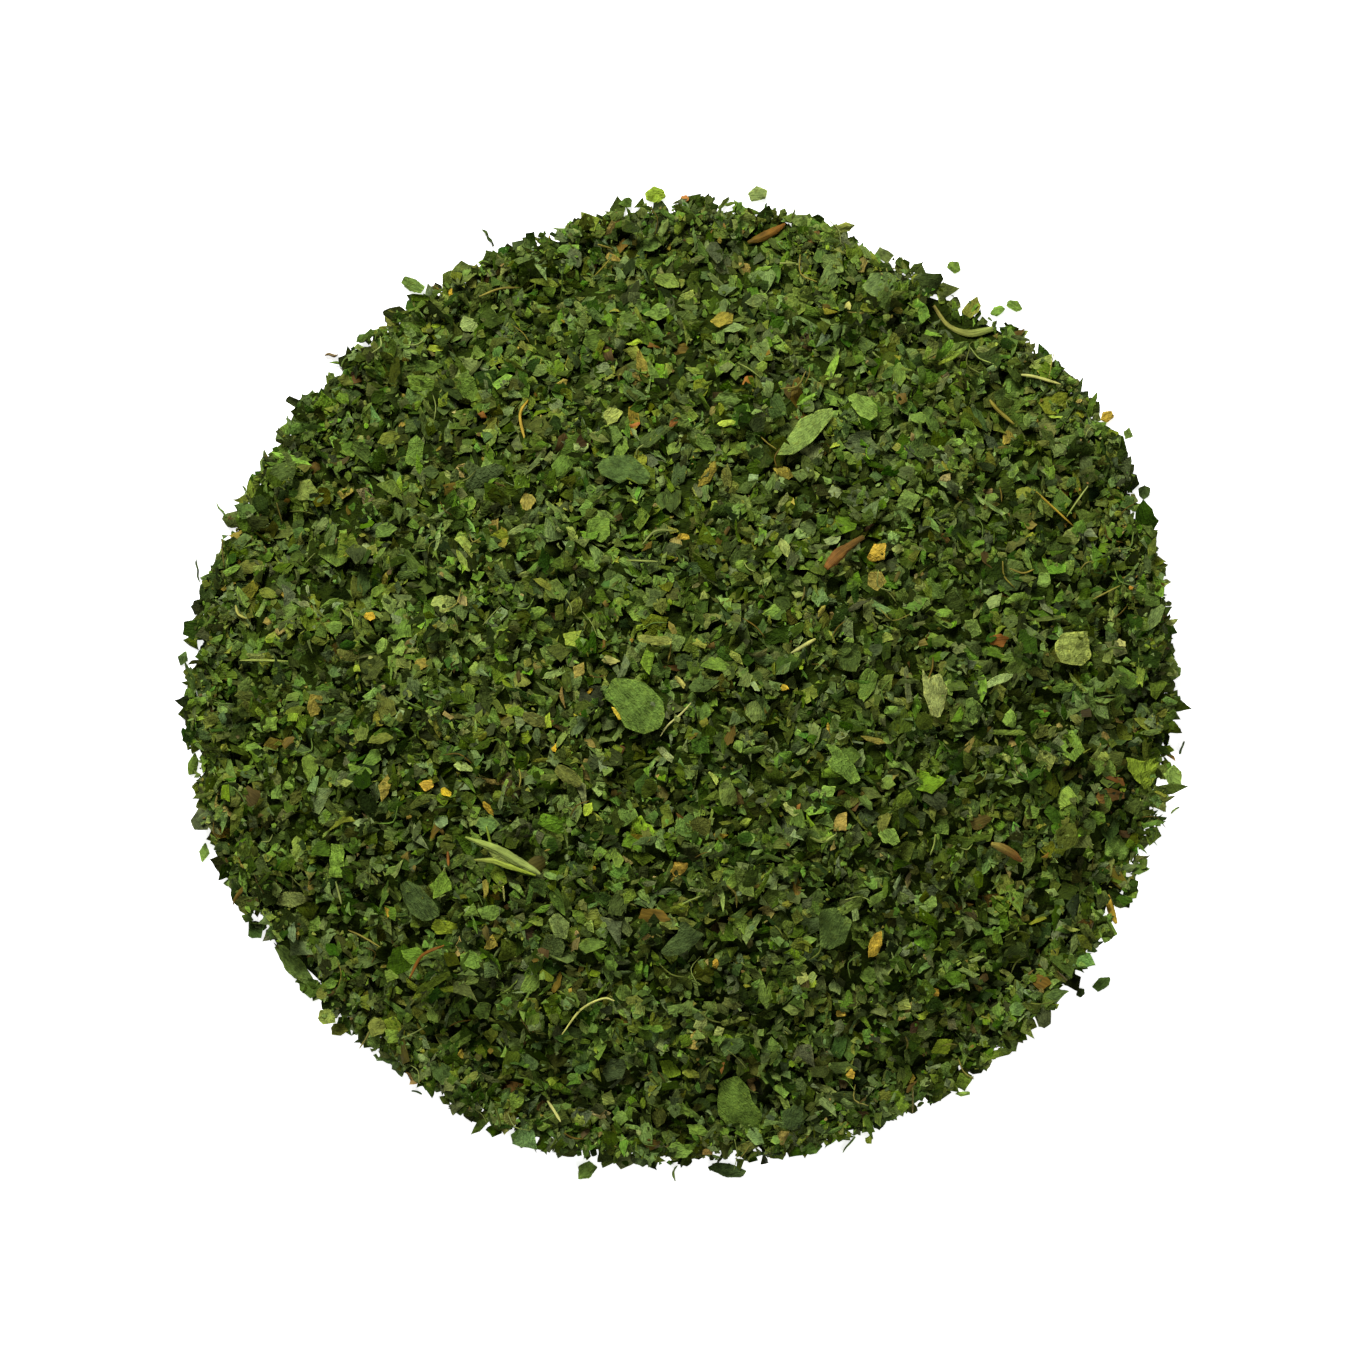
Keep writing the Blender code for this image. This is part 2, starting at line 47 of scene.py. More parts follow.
FULL_TURN = 2 * math.pi
print("nodes in the model:", len(nodes))

# %% [markdown]
# ## The camera
# The photograph looks straight down, and nine of its pixels are one millimetre on the table.
# A long lens from far away sees the heap with little perspective, as a product photographer would
# do it. Its distance follows from the width of table that has to fit into the frame. A camera
# without perspective could be used too, but then the top of the heap would not look any nearer.

# %% Camera
PHOTO_SIDE = 1366
PHOTO_PIXELS_PER_MM = 9.0
LENS = 180.0
SENSOR = 36.0
FRAME_WIDTH = PHOTO_SIDE / PHOTO_PIXELS_PER_MM
CAMERA_HEIGHT = FRAME_WIDTH * LENS / SENSOR
CAMERA_X = -0.1

camera_data = bpy.data.cameras.new("camera")
camera_data.lens = LENS
camera_data.sensor_width = SENSOR
camera = bpy.data.objects.new("camera", camera_data)
bpy.context.scene.collection.objects.link(camera)
camera.location = (CAMERA_X * MM, 0, CAMERA_HEIGHT * MM)
bpy.context.scene.camera = camera
print("camera height in millimetres:", round(CAMERA_HEIGHT))

# %% [markdown]
# ## The table
# The table is a plain white light table, as used to photograph goods without a shadow, so it
# stays white right up to the heap. Strong lamps on a white sheet would do that as well, but a faint
# glow of its own is simpler and leaves the heap's light alone.

# %% Table
TABLE_SIDE = 3.0
TABLE_ALBEDO = 0.92
TABLE_GLOW = 0.8
TABLE_ROUGHNESS = 0.9
TABLE_SPECULAR = 0.1

table_mesh = bpy.data.meshes.new("table")
half = TABLE_SIDE / 2
table_corners = [(-half, -half, 0), (half, -half, 0), (half, half, 0), (-half, half, 0)]
table_mesh.from_pydata(table_corners, [], [(0, 1, 2, 3)])
table = bpy.data.objects.new("table", table_mesh)
bpy.context.scene.collection.objects.link(table)
table_finish = bpy.data.materials.new("table_white")
table_finish.use_nodes = True
table_shader = table_finish.node_tree.nodes["Principled BSDF"]
table_shader.inputs["Base Color"].default_value = (TABLE_ALBEDO, TABLE_ALBEDO, TABLE_ALBEDO, 1)
table_shader.inputs["Roughness"].default_value = TABLE_ROUGHNESS
table_shader.inputs["Specular IOR Level"].default_value = TABLE_SPECULAR
table_shader.inputs["Emission Color"].default_value = (1, 1, 1, 1)
table_shader.inputs["Emission Strength"].default_value = TABLE_GLOW
table_mesh.materials.append(table_finish)
print("table side in metres:", TABLE_SIDE)

# %% [markdown]
# ## The light
# The light is a pale sky all round and a soft lamp behind the heap, towards the top of the
# photograph, so the flakes cast short shadows downwards. A weak lamp in front keeps the near flank
# from going black. Sky light alone would be simpler, but it leaves the flakes looking flat.

# %% Light
SKY_STRENGTH = 0.10
LAMPS = (
    # name, place in metres, side in metres, watts
    ("lamp_back", (-0.22, 0.61, 0.76), 0.30, 15.6),
    ("lamp_front", (0.34, -0.60, 0.74), 0.50, 2.4),
)

world = bpy.data.worlds.new("sky")
world.use_nodes = True
world.node_tree.nodes["Background"].inputs["Color"].default_value = (1, 1, 1, 1)
world.node_tree.nodes["Background"].inputs["Strength"].default_value = SKY_STRENGTH
bpy.context.scene.world = world
for name, place, side, watts in LAMPS:
    lamp = bpy.data.lights.new(name, "AREA")
    lamp.size = side
    lamp.energy = watts
    lamp_object = bpy.data.objects.new(name, lamp)
    lamp_object.location = place
    lamp_object.rotation_euler = Vector(place).to_track_quat("Z", "Y").to_euler()
    bpy.context.scene.collection.objects.link(lamp_object)
bpy.context.scene.view_settings.view_transform = "Standard"
print("lamps:", len(LAMPS))

# %% [markdown]
# ## The form of the heap
# The heap is a dome. Its edge is a circle with eight small waves round it, and its height falls
# off with a power of the distance from the middle. The solids of the model follow the same two
# formulas, so what is laid over this dome lies where they are. The height could be measured on the
# solid too, but a formula gives it at any place at once, for whole arrays of places.

# %% Outline and dome
HEAP_MIDDLE = (0.3, -0.2)
HEAP_RADIUS = 54.3
OUTLINE_WAVES = (
    # waves in one turn, height in millimetres, direction of the first crest in degrees
    (1, 0.3, -86),
    (2, 0.9, 22),
    (3, 0.4, -141),
    (4, 0.4, 27),
    (5, 0.2, 170),
    (6, 0.25, 166),
    (7, 0.3, -107),
    (8, 0.2, -70),
)
DOME_HEIGHT = 20.2
DOME_INSET = 3.4
DOME_ROUNDNESS = 2.2


def outline_radius(angle):
    """From the heap's middle to its edge: the mean radius and the waves' cosines added up."""
    waves = [
        size * np.cos(count * angle - math.radians(crest))
        for count, size, crest in OUTLINE_WAVES
    ]
    return HEAP_RADIUS + np.sum(waves, axis=0)


def dome_height(x, y):
    """The full height times one less a power of the distance, as a share of the dome's radius."""
    across = np.hypot(x - HEAP_MIDDLE[0], y - HEAP_MIDDLE[1])
    angle = np.arctan2(y - HEAP_MIDDLE[1], x - HEAP_MIDDLE[0])
    share = across / (outline_radius(angle) - DOME_INSET)
    return np.maximum(DOME_HEIGHT * (1 - share ** DOME_ROUNDNESS), 0.0)


def under_view(x, y):
    """Where on the heap a place lies that the camera shows at (x, y) on the table: nearer to the
    middle, by the dome's height as a share of the camera's height."""
    nearer = 1 - dome_height(x, y) / CAMERA_HEIGHT
    return x * nearer, y * nearer


print("height over the middle:", round(float(dome_height(0.0, 0.0)), 1))

# %% [markdown]
# ## A mesh from arrays
# All pieces here are made the same way: numpy works out every point at once, and foreach_set
# hands the whole array to Blender. Besides its points a piece carries three things for its
# material. `tint` is the flake's own colour, `leaf_place` is where a point lies on its own leaf,
# and `rim` runs from nought in the middle of the flake to one at its edge.

# %% Mesh maker
def make_piece(name, points, faces, tint, leaf_place, rim, bake_map, sharp=None):
    """A mesh object from arrays: points in millimetres, triangles, and a value for each point.

    bake_map holds one place on the unit square for each corner of each triangle, and sharp says
    for each point whether an edge between two such points is a crease.
    """
    mesh = bpy.data.meshes.new(name)
    mesh.vertices.add(len(points))
    mesh.vertices.foreach_set("co", (points * MM).astype(np.float32).ravel())
    mesh.loops.add(faces.size)
    mesh.loops.foreach_set("vertex_index", faces.astype(np.int32).ravel())
    mesh.polygons.add(len(faces))
    mesh.polygons.foreach_set("loop_start", np.arange(0, faces.size, 3, dtype=np.int32))
    mesh.polygons.foreach_set("use_smooth", np.ones(len(faces), bool))
    mesh.update(calc_edges=True)
    colour = mesh.attributes.new("tint", "FLOAT_COLOR", "POINT")
    colour.data.foreach_set("color", np.c_[tint, np.ones(len(tint))].astype(np.float32).ravel())
    place = mesh.attributes.new("leaf_place", "FLOAT_VECTOR", "POINT")
    place.data.foreach_set("vector", leaf_place.astype(np.float32).ravel())
    edge = mesh.attributes.new("rim", "FLOAT", "POINT")
    edge.data.foreach_set("value", rim.astype(np.float32))
    layer = mesh.uv_layers.new(name="OFBake")
    layer.uv.foreach_set("vector", bake_map.astype(np.float32).ravel())
    if sharp is not None:
        ends = np.empty(len(mesh.edges) * 2, np.int32)
        mesh.edges.foreach_get("vertices", ends)
        creased = sharp[ends.reshape(-1, 2)].all(axis=1)
        mark = mesh.attributes.new("sharp_edge", "BOOLEAN", "EDGE")
        mark.data.foreach_set("value", creased)
    mesh.validate()
    piece = bpy.data.objects.new(name, mesh)
    bpy.context.scene.collection.objects.link(piece)
    return piece


# %% [markdown]
# ## One flake, many times
# Dried spinach is cut and rubbed through a screen. What falls out are small scraps with three to
# six straight or torn sides, a sixth of a millimetre thick, bent and creased by drying. A flake is
# modelled as a closed lens. Two faces share one sharp rim, and both follow the same bent surface.
# One modelled flake could be scattered as thousands of instances, but the eye soon finds the copies.
# Here all flakes of a kind are worked out in one go, as arrays with one row for each flake, and no
# two are alike.

# %% Topology of a flake
class Topology:
    """Points and triangles of one closed flake.

    A flake has a rim with some points, rings inside it, and a middle point, once for its upper
    face and once for its lower face, which share the rim. ring_points lists the points of each
    ring from the rim inwards, and each ring has as many as the one outside it, or half as many.
    """

    def __init__(self, ring_points):
        self.rim_points = ring_points[0]
        inner = ring_points[1:]
        self.inner = inner
        self.reach = [np.ones(self.rim_points)]
        self.step = [np.arange(self.rim_points)]
        for number, count in enumerate(inner, start=1):
            share = 1 - number / (len(inner) + 1)
            self.reach.append(np.full(count, share))
            self.step.append(np.arange(count) * (self.rim_points // count))
        self.reach.append(np.zeros(1))
        self.step.append(np.zeros(1, int))
        inside = sum(inner) + 1
        self.count = self.rim_points + 2 * inside
        upper = self._face(self.rim_points)
        lower = self._face(self.rim_points + inside)[:, ::-1]
        self.faces = np.concatenate([upper, lower])
        self.upper_faces = len(upper)
        one_side = np.concatenate(self.reach[1:])
        steps = np.concatenate(self.step[1:])
        self.share = np.concatenate([self.reach[0], one_side, one_side])
        self.rim_step = np.concatenate([self.step[0], steps, steps])
        self.side = np.concatenate([np.zeros(self.rim_points), np.ones(inside), -np.ones(inside)])

    def _face(self, start):
        """Triangles of one face: bands between the rings, and a fan round the middle."""
        made = []
        outer = np.arange(self.rim_points)
        for count in self.inner:
            ring = start + np.arange(count)
            start += count
            if len(outer) == count:
                after, ring_after = np.roll(outer, -1), np.roll(ring, -1)
                made += [np.stack([outer, after, ring], 1), np.stack([after, ring_after, ring], 1)]
            else:
                first, middle, last = outer[::2], outer[1::2], np.roll(outer[::2], -1)
                ring_after = np.roll(ring, -1)
                made += [
                    np.stack([first, middle, ring], 1),
                    np.stack([middle, ring_after, ring], 1),
                    np.stack([middle, last, ring_after], 1),
                ]
            outer = ring
        centre = np.full(len(outer), start)
        made.append(np.stack([outer, np.roll(outer, -1), centre], 1))
        return np.concatenate(made)


CRUMB = Topology((6,))
FLAKE = Topology((12, 6))
PATCH = Topology((24, 24, 12, 6))
LEAF = Topology((36, 36, 36, 18))
print("triangles of each kind:", [len(kind.faces) for kind in (CRUMB, FLAKE, PATCH, LEAF)])

# %% [markdown]
# ### The cut outline
# The outline of a flake is a polygon. Its corners stand round a circle at uneven angles and
# distances, and the points between two corners lie on the straight line between them, pushed in
# or out a little where the leaf tore.

# %% Outlines
MOST_CORNERS = 6
CORNER_SHIFT = 0.28
DEEPEST_CORNER = 0.4
ROUNDING_ROOM = 1e-6
AT_CORNER = 1e-3


def cut_outlines(draw, corners, points, tearing):
    """Rim points of many flakes, as an array of flakes by points by two, of about unit reach.

    Corner k of n is at the angle (k plus a drawn shift) / n of a turn, at a distance of one less
    a drawn share. Rim point j lies at j times n / points along the corners, on the straight line
    between its two corners, moved by the tearing.
    """
    count = len(corners)
    order = np.arange(MOST_CORNERS)
    shift = draw.uniform(-CORNER_SHIFT, CORNER_SHIFT, (count, MOST_CORNERS))
    angle = (order + shift) / corners[:, None] * FULL_TURN + draw.uniform(0, FULL_TURN, (count, 1))
    distance = 1 - draw.uniform(0, DEEPEST_CORNER, (count, MOST_CORNERS))
    corner = np.stack([np.cos(angle) * distance, np.sin(angle) * distance], axis=2)
    along = np.arange(points)[None, :] * corners[:, None] / points
    first = np.floor(along + ROUNDING_ROOM).astype(int)
    share = (along - first)[:, :, None]
    after = (first + 1) % corners[:, None]
    rows = np.arange(count)[:, None]
    rim = corner[rows, first] * (1 - share) + corner[rows, after] * share
    torn = 1 + draw.normal(0, tearing, (count, points, 1)) * (share > AT_CORNER)
    return rim * torn


# %% [markdown]
# ### Bending a flake
# A drying leaf shrinks more on one face and along its veins, so it rolls, twists and creases.
# Rolling is the arc of a circle: a point at distance p from the axis moves to sin(kp)/k along
# and (1 - cos(kp))/k up, where k is how strongly the flake rolls. A twist lifts by u times v, a
# crease by the distance from a line, and drying ripples by two waves. Bend modifiers could do
# this for one flake at a time, and a formula does it for all of them at once.

# %% Bent surfaces
RIPPLE_SQUEEZE = 0.8
RIPPLE_OFFSET = 2.1
MOST_ROLL = 2.2
CREASED_SHARE = 0.5
CREASE_REACH = 0.4


def rolled(distance, strength):
    """Where a distance ends up on an arc: (sine of the angle, one less cosine) over the strength."""
    angle = distance * strength
    along = distance * np.sinc(angle / math.pi)
    up = distance * angle / 2 * np.sinc(angle / FULL_TURN) ** 2
    return along, up


def bent_flakes(kind, rim, half_size, shape, thickness):
    """Points of many flakes in their own frames, and where each lies on the flat leaf.

    kind is the topology, rim the unit outline, half_size the two half sizes, and shape a
    dictionary of arrays with one value for each flake.
    """
    flat = rim[:, kind.rim_step, :] * kind.share[None, :, None] * half_size[:, None, :]
    turn = shape["roll_turn"][:, None]
    cosine, sine = np.cos(turn), np.sin(turn)
    along = flat[:, :, 0] * cosine + flat[:, :, 1] * sine
    beside = flat[:, :, 1] * cosine - flat[:, :, 0] * sine
    size = half_size.max(axis=1)[:, None]
    new_along, lift = rolled(along, shape["roll"][:, None] / size)
    new_beside, second_lift = rolled(beside, shape["second_roll"][:, None] / size)
    lift = lift + second_lift + shape["twist"][:, None] * along * beside / size
    lift = lift + shape["crease"][:, None] * np.abs(beside - shape["crease_place"][:, None] * size)
    wave = FULL_TURN / shape["ripple_length"][:, None]
    start = shape["ripple_start"][:, None]
    ripple = np.sin(wave * along + start)
    ripple = ripple * np.cos(wave * beside * RIPPLE_SQUEEZE + start * RIPPLE_OFFSET)
    lift = lift + shape["ripple"][:, None] * ripple
    lift = lift - lift.mean(axis=1, keepdims=True)
    half_thick = thickness[:, None] / 2 * (1 - kind.share[None, :] ** 2) ** 0.5
    height = lift + kind.side[None, :] * half_thick
    x = new_along * cosine - new_beside * sine
    y = new_along * sine + new_beside * cosine
    return np.stack([x, y, height], axis=2), flat


def draw_shapes(draw, count, roll, second_roll, twist, crease, ripple, ripple_length):
    """Bending values for many flakes, drawn from bell curves of the given widths."""
    return {
        "roll": draw.normal(0, roll, count).clip(-MOST_ROLL * roll, MOST_ROLL * roll),
        "second_roll": draw.normal(0, second_roll, count),
        "twist": draw.normal(0, twist, count),
        "crease": draw.normal(0, crease, count) * (draw.random(count) < CREASED_SHARE),
        "crease_place": draw.uniform(-CREASE_REACH, CREASE_REACH, count),
        "ripple": np.abs(draw.normal(0, ripple, count)),
        "ripple_length": draw.uniform(*ripple_length, count),
        "ripple_start": draw.uniform(0, FULL_TURN, count),
        "roll_turn": draw.uniform(0, FULL_TURN, count),
    }


# %% [markdown]
# ## Laying flakes on a heap
# Thrown on at random places and tilts, flakes would float and cut through each other. So each one
# is set down on what already lies there. A height map keeps the top of the heap, in squares of a
# quarter millimetre. A flake rests on the highest spots under it: a plane is fitted to the heights
# there, and high ones weigh most. Then the flake's own top becomes part of the map. A simulation of
# rigid bodies could drop them instead, but for many thousands it is slow and hard to repeat.

# %% The ground and how a flake settles on it
CELL = 0.25
GROUND_CELLS = 488
GROUND_START = -CELL * GROUND_CELLS / 2
REST_SOFTNESS = 0.3
REST_SHARE = 0.8
STEEPEST = 1.5
DEEPEST_SINK = 2.0
LOWEST_SUNK = 0.4
PLANE_STIFFNESS = 0.06
FOOTPRINT_SHARE = 0.82
TABLE_GAP = 0.02
BED_SHARE = 0.92

cell_line = GROUND_START + (np.arange(GROUND_CELLS) + 0.5) * CELL
cell_x, cell_y = np.meshgrid(cell_line, cell_line)
ground = dome_height(cell_x, cell_y) * BED_SHARE
ceiling = np.full_like(ground, np.inf)


def window(x, y, reach):
    """The part of the ground within a reach of a place, as slices of its rows and columns."""
    low_x = max(int((x - reach - GROUND_START) / CELL), 0)
    low_y = max(int((y - reach - GROUND_START) / CELL), 0)
    high_x = int((x + reach - GROUND_START) / CELL) + 2
    high_y = int((y + reach - GROUND_START) / CELL) + 2
    return slice(low_y, high_y), slice(low_x, high_x)


def cells_of(x, y):
    """The rows and columns of the squares of the ground that some places fall in."""
    columns = ((x - GROUND_START) / CELL).astype(int).clip(0, GROUND_CELLS - 1)
    rows = ((y - GROUND_START) / CELL).astype(int).clip(0, GROUND_CELLS - 1)
    return rows, columns


def footprint(x, y, half_long, half_short, turn):
    """The squares round a flake, how far each is from its middle in x and in y, and how far out
    it is in the flake's ellipse: (p / half_long)^2 + (q / half_short)^2, which is one at its
    edge, with p and q measured along and across the flake."""
    rows, columns = window(x, y, max(half_long, half_short))
    across = cell_x[rows, columns] - x
    up = cell_y[rows, columns] - y
    cosine, sine = math.cos(turn), math.sin(turn)
    along = (across * cosine + up * sine) / half_long
    beside = (up * cosine - across * sine) / half_short
    return rows, columns, across, up, along * along + beside * beside


def settle(x, y, half_long, half_short, turn, lean, sink, top):
    """Lay one flake on the ground, and return its height and its two slopes.

    The footprint is an ellipse of the flake's half sizes. Its plane is the least-squares plane of
    the ground there, where a height h weighs exp((h - highest) / softness), plus a drawn lean,
    and no steeper than a limit. It stands so high that a share of the ground is below it, less a
    sink, so small bumps go into its soft edge. Where it would come through the ceiling it sinks
    in further. If that takes it too deep, it isn't laid, and its height is not a number.
    """
    rows, columns, across, up, out = footprint(x, y, half_long, half_short, turn)
    heights = ground[rows, columns]
    inside = out < 1
    if not inside.any():
        inside[inside.shape[0] // 2, inside.shape[1] // 2] = True
    h, dx, dy = heights[inside], across[inside], up[inside]
    weight = np.exp((h - h.max()) / REST_SOFTNESS)
    total = weight.sum()
    mean_x, mean_y, mean_h = weight @ dx / total, weight @ dy / total, weight @ h / total
    away_x, away_y, above = dx - mean_x, dy - mean_y, h - mean_h
    spread = PLANE_STIFFNESS * half_short * half_short * total
    xx = weight @ (away_x * away_x) + spread
    yy = weight @ (away_y * away_y) + spread
    xy = weight @ (away_x * away_y)
    xh, yh = weight @ (away_x * above), weight @ (away_y * above)
    scale = xx * yy - xy * xy
    slope_x = (xh * yy - yh * xy) / scale + lean[0]
    slope_y = (yh * xx - xh * xy) / scale + lean[1]
    steep = math.hypot(slope_x, slope_y)
    if steep > STEEPEST:
        slope_x *= STEEPEST / steep
        slope_y *= STEEPEST / steep
    over = np.sort(h - slope_x * dx - slope_y * dy)
    height = over[int(REST_SHARE * (len(over) - 1))] - sink
    surface = height + slope_x * dx + slope_y * dy + top
    too_high = max((surface - ceiling[rows, columns][inside]).max(), 0.0)
    if too_high > DEEPEST_SINK or (too_high > 0 and height - too_high < LOWEST_SUNK):
        return math.nan, 0.0, 0.0
    height -= too_high
    surface = surface - too_high
    heights[inside] = np.maximum(h, surface)
    return height, slope_x, slope_y


def settle_all(x, y, half_size, turn, lean, sink, top):
    """Lay many flakes down in turn. Returns an array of (height, slope in x, slope in y)."""
    half_long, half_short = (half_size * FOOTPRINT_SHARE).T
    laid = [settle(*values) for values in zip(x, y, half_long, half_short, turn, lean, sink, top)]
    return np.array(laid)


def stand_in_place(points, x, y, laid, turn):
    """Turn flakes from their own frames into the heap's: their first axis follows the turn on
    the plane that they lie on, the third is the plane's normal, and the second is across both."""
    height, slope_x, slope_y = laid.T
    normal = np.stack([-slope_x, -slope_y, np.ones_like(height)], axis=1)
    normal /= np.linalg.norm(normal, axis=1, keepdims=True)
    cosine, sine = np.cos(turn), np.sin(turn)
    first = np.stack([cosine, sine, slope_x * cosine + slope_y * sine], axis=1)
    first /= np.linalg.norm(first, axis=1, keepdims=True)
    second = np.cross(normal, first)
    axes = np.stack([first, second, normal], axis=1)
    middle = np.stack([x, y, height], axis=1)
    return np.einsum("fpk,fkd->fpd", points, axes) + middle[:, None, :]


# %% [markdown]
# ## The colours of dried leaf
# No two flakes have one colour. Most are a grey green of one hue and differ in how light they are,
# some dried olive, and a few gold or brown. A texture with random cells could vary them, but it
# would cut across the flakes. So each flake's points carry one colour, drawn from bell curves of
# hue, saturation and value, and turned into the linear colours that shaders take.

# %% Tints
def tints(draw, count, hue, saturation, value):
    """Linear colours from bell curves, each given as (middle, width, lowest, highest).

    For a hue h in degrees, channel c of (5, 3, 1) is value times one less saturation times the
    smaller of k and 4 - k, held to 0..1, where k is (c + h / 60) modulo six.
    """
    h, s, v = (
        draw.normal(middle, width, count).clip(low, high)
        for middle, width, low, high in (hue, saturation, value)
    )
    k = (np.array([5, 3, 1])[None, :] + h[:, None] / 60) % 6
    srgb = v[:, None] * (1 - s[:, None] * np.minimum(k, 4 - k).clip(0, 1))
    return np.where(srgb <= 0.04045, srgb / 12.92, ((srgb + 0.055) / 1.055) ** 2.4)


FAMILIES = {
    # slot of the flakes: (share of the skin, hue, saturation, value)
    "leaf_green": (0.27, (80, 4, 66, 93), (0.57, 0.10, 0.34, 0.80), (0.42, 0.05, 0.30, 0.60)),
    "heap_green": (0.40, (78, 4.5, 64, 94), (0.62, 0.11, 0.38, 0.90), (0.305, 0.05, 0.19, 0.46)),
    "leaf_dark": (0.21, (79, 6, 60, 98), (0.80, 0.11, 0.46, 0.97), (0.205, 0.04, 0.11, 0.32)),
    "leaf_olive": (0.10, (70, 4, 58, 77), (0.62, 0.07, 0.46, 0.80), (0.38, 0.06, 0.24, 0.52)),
    "leaf_gold": (0.01, (50, 4, 40, 58), (0.58, 0.08, 0.4, 0.75), (0.46, 0.07, 0.32, 0.62)),
    "stalk_brown": (0.01, (45, 5, 34, 54), (0.70, 0.08, 0.5, 0.9), (0.34, 0.07, 0.20, 0.50)),
}
SHADES = {
    # shade of a noted piece: (slot, hue, saturation, value)
    "green": ("leaf_green", 80, 0.60, 0.43),
    "bright": ("leaf_green", 81, 0.60, 0.50),
    "pale": ("leaf_green", 77, 0.44, 0.54),
    "straw": ("leaf_olive", 70, 0.52, 0.54),
    "olive": ("leaf_olive", 68, 0.60, 0.39),
    "lime": ("leaf_olive", 71, 0.70, 0.59),
    "dark": ("leaf_dark", 84, 0.52, 0.31),
    "gold": ("leaf_gold", 47, 0.72, 0.64),
    "tan": ("leaf_gold", 53, 0.62, 0.48),
    "brown": ("stalk_brown", 46, 0.72, 0.35),
    "rust": ("stalk_brown", 33, 0.74, 0.50),
    "cream": ("stem_pale", 60, 0.46, 0.68),
}
SHADE_SPREAD = (1.5, 0.03, 0.03)


def family_tints(draw, family, count):
    """Linear colours for flakes of one family."""
    return tints(draw, count, *FAMILIES[family][1:])


def shade_tints(draw, shade, count):
    """Linear colours near one shade."""
    curves = [
        (middle, width, middle - 3 * width, middle + 3 * width)
        for middle, width in zip(SHADES[shade][1:], SHADE_SPREAD)
    ]
    return tints(draw, count, *curves)


print("families of colour:", ", ".join(FAMILIES))

# %% [markdown]
# ## The finish of a dried leaf
# One node group gives every leaf surface its detail. Mottling makes parts of a flake lighter or
# darker and yellower. A net of fine veins is a little lighter and stands out. The torn rim is
# pale in places. Crinkles from drying go into the height, which drives a bump. A picture of a leaf
# could be laid over the flakes, but it would repeat, while these patterns never do. They read
# `leaf_place`, so they lie on each flake as they grew there.

# %% Node helpers
def add_node(tree, kind, **settings):
    """A new node with some of its settings."""
    node = tree.nodes.new(kind)
    for name, value in settings.items():
        setattr(node, name, value)
    return node


def feed(tree, target, source):
    """Link an output to an input, or set the input where source is a plain value."""
    if isinstance(source, bpy.types.NodeSocket):
        tree.links.new(source, target)
    else:
        target.default_value = source


def maths(tree, operation, *values):
    """A Math node's result."""
    node = add_node(tree, "ShaderNodeMath", operation=operation)
    for socket, value in zip(node.inputs, values):
        feed(tree, socket, value)
    return node.outputs[0]


def ranged(tree, value, old, new):
    """A Map Range node's result: a smooth step from an old range to a new one."""
    node = add_node(tree, "ShaderNodeMapRange", interpolation_type="SMOOTHSTEP")
    feed(tree, node.inputs["Value"], value)
    limits = {"From Min": old[0], "From Max": old[1], "To Min": new[0], "To Max": new[1]}
    for name, limit in limits.items():
        node.inputs[name].default_value = limit
    return node.outputs["Result"]


def mixed(tree, share, first, second, blend="MIX"):
    """A Mix node's colour."""
    node = add_node(tree, "ShaderNodeMix", data_type="RGBA", blend_type=blend)
    feed(tree, node.inputs["Factor"], share)
    feed(tree, node.inputs["A"], first)
    feed(tree, node.inputs["B"], second)
    return next(socket for socket in node.outputs if socket.type == "RGBA")


def changed(tree, share, colour, factors):
    """A colour mixed with itself times a factor for each channel, by a share."""
    return mixed(tree, share, colour, mixed(tree, 1.0, colour, factors, "MULTIPLY"))


def scaled_colour(tree, colour, value):
    """A colour times a number, with a Vector Math node."""
    node = add_node(tree, "ShaderNodeVectorMath", operation="SCALE")
    feed(tree, node.inputs[0], colour)
    feed(tree, node.inputs["Scale"], value)
    return node.outputs[0]


def squeezed(tree, place, factors):
    """A place times a factor for each axis, which presses a pattern together along it."""
    node = add_node(tree, "ShaderNodeVectorMath", operation="MULTIPLY")
    feed(tree, node.inputs[0], place)
    node.inputs[1].default_value = factors
    return node.outputs[0]


def noise(tree, place, scale, detail=2.0, roughness=0.5):
    """A Noise Texture's value."""
    node = add_node(tree, "ShaderNodeTexNoise")
    feed(tree, node.inputs["Vector"], place)
    node.inputs["Scale"].default_value = scale
    node.inputs["Detail"].default_value = detail
    node.inputs["Roughness"].default_value = roughness
    return node.outputs["Fac"]


SURFACE_INPUTS = (
    ("Tint", "NodeSocketColor"),
    ("Place", "NodeSocketVector"),
    ("Rim", "NodeSocketFloat"),
)
SURFACE_OUTPUTS = (
    ("Color", "NodeSocketColor"),
    ("Roughness", "NodeSocketFloat"),
    ("Height", "NodeSocketFloat"),
)


def new_surface_group(name, dials):
    """An empty node group with the sockets of every surface here and some dials of its own."""
    group = bpy.data.node_groups.new(name, "ShaderNodeTree")
    for title, kind in SURFACE_INPUTS:
        group.interface.new_socket(title, in_out="INPUT", socket_type=kind)
    for title in dials:
        group.interface.new_socket(title, in_out="INPUT", socket_type="NodeSocketFloat")
    for title, kind in SURFACE_OUTPUTS:
        group.interface.new_socket(title, in_out="OUTPUT", socket_type=kind)
    given = group.nodes.new("NodeGroupInput").outputs
    out = group.nodes.new("NodeGroupOutput").inputs
    return group, given, out


# %% The dried leaf group
FIBRE_SQUEEZE = (1.0, 3.2, 1.0)
YELLOWED = (1.22, 1.0, 0.62, 1.0)
VEIN_LIGHT = (1.34, 1.28, 1.2, 1.0)
WORN_LIGHT = (1.55, 1.45, 1.25, 1.0)
FINE_RELIEF = 0.22
VEIN_RELIEF = 0.30


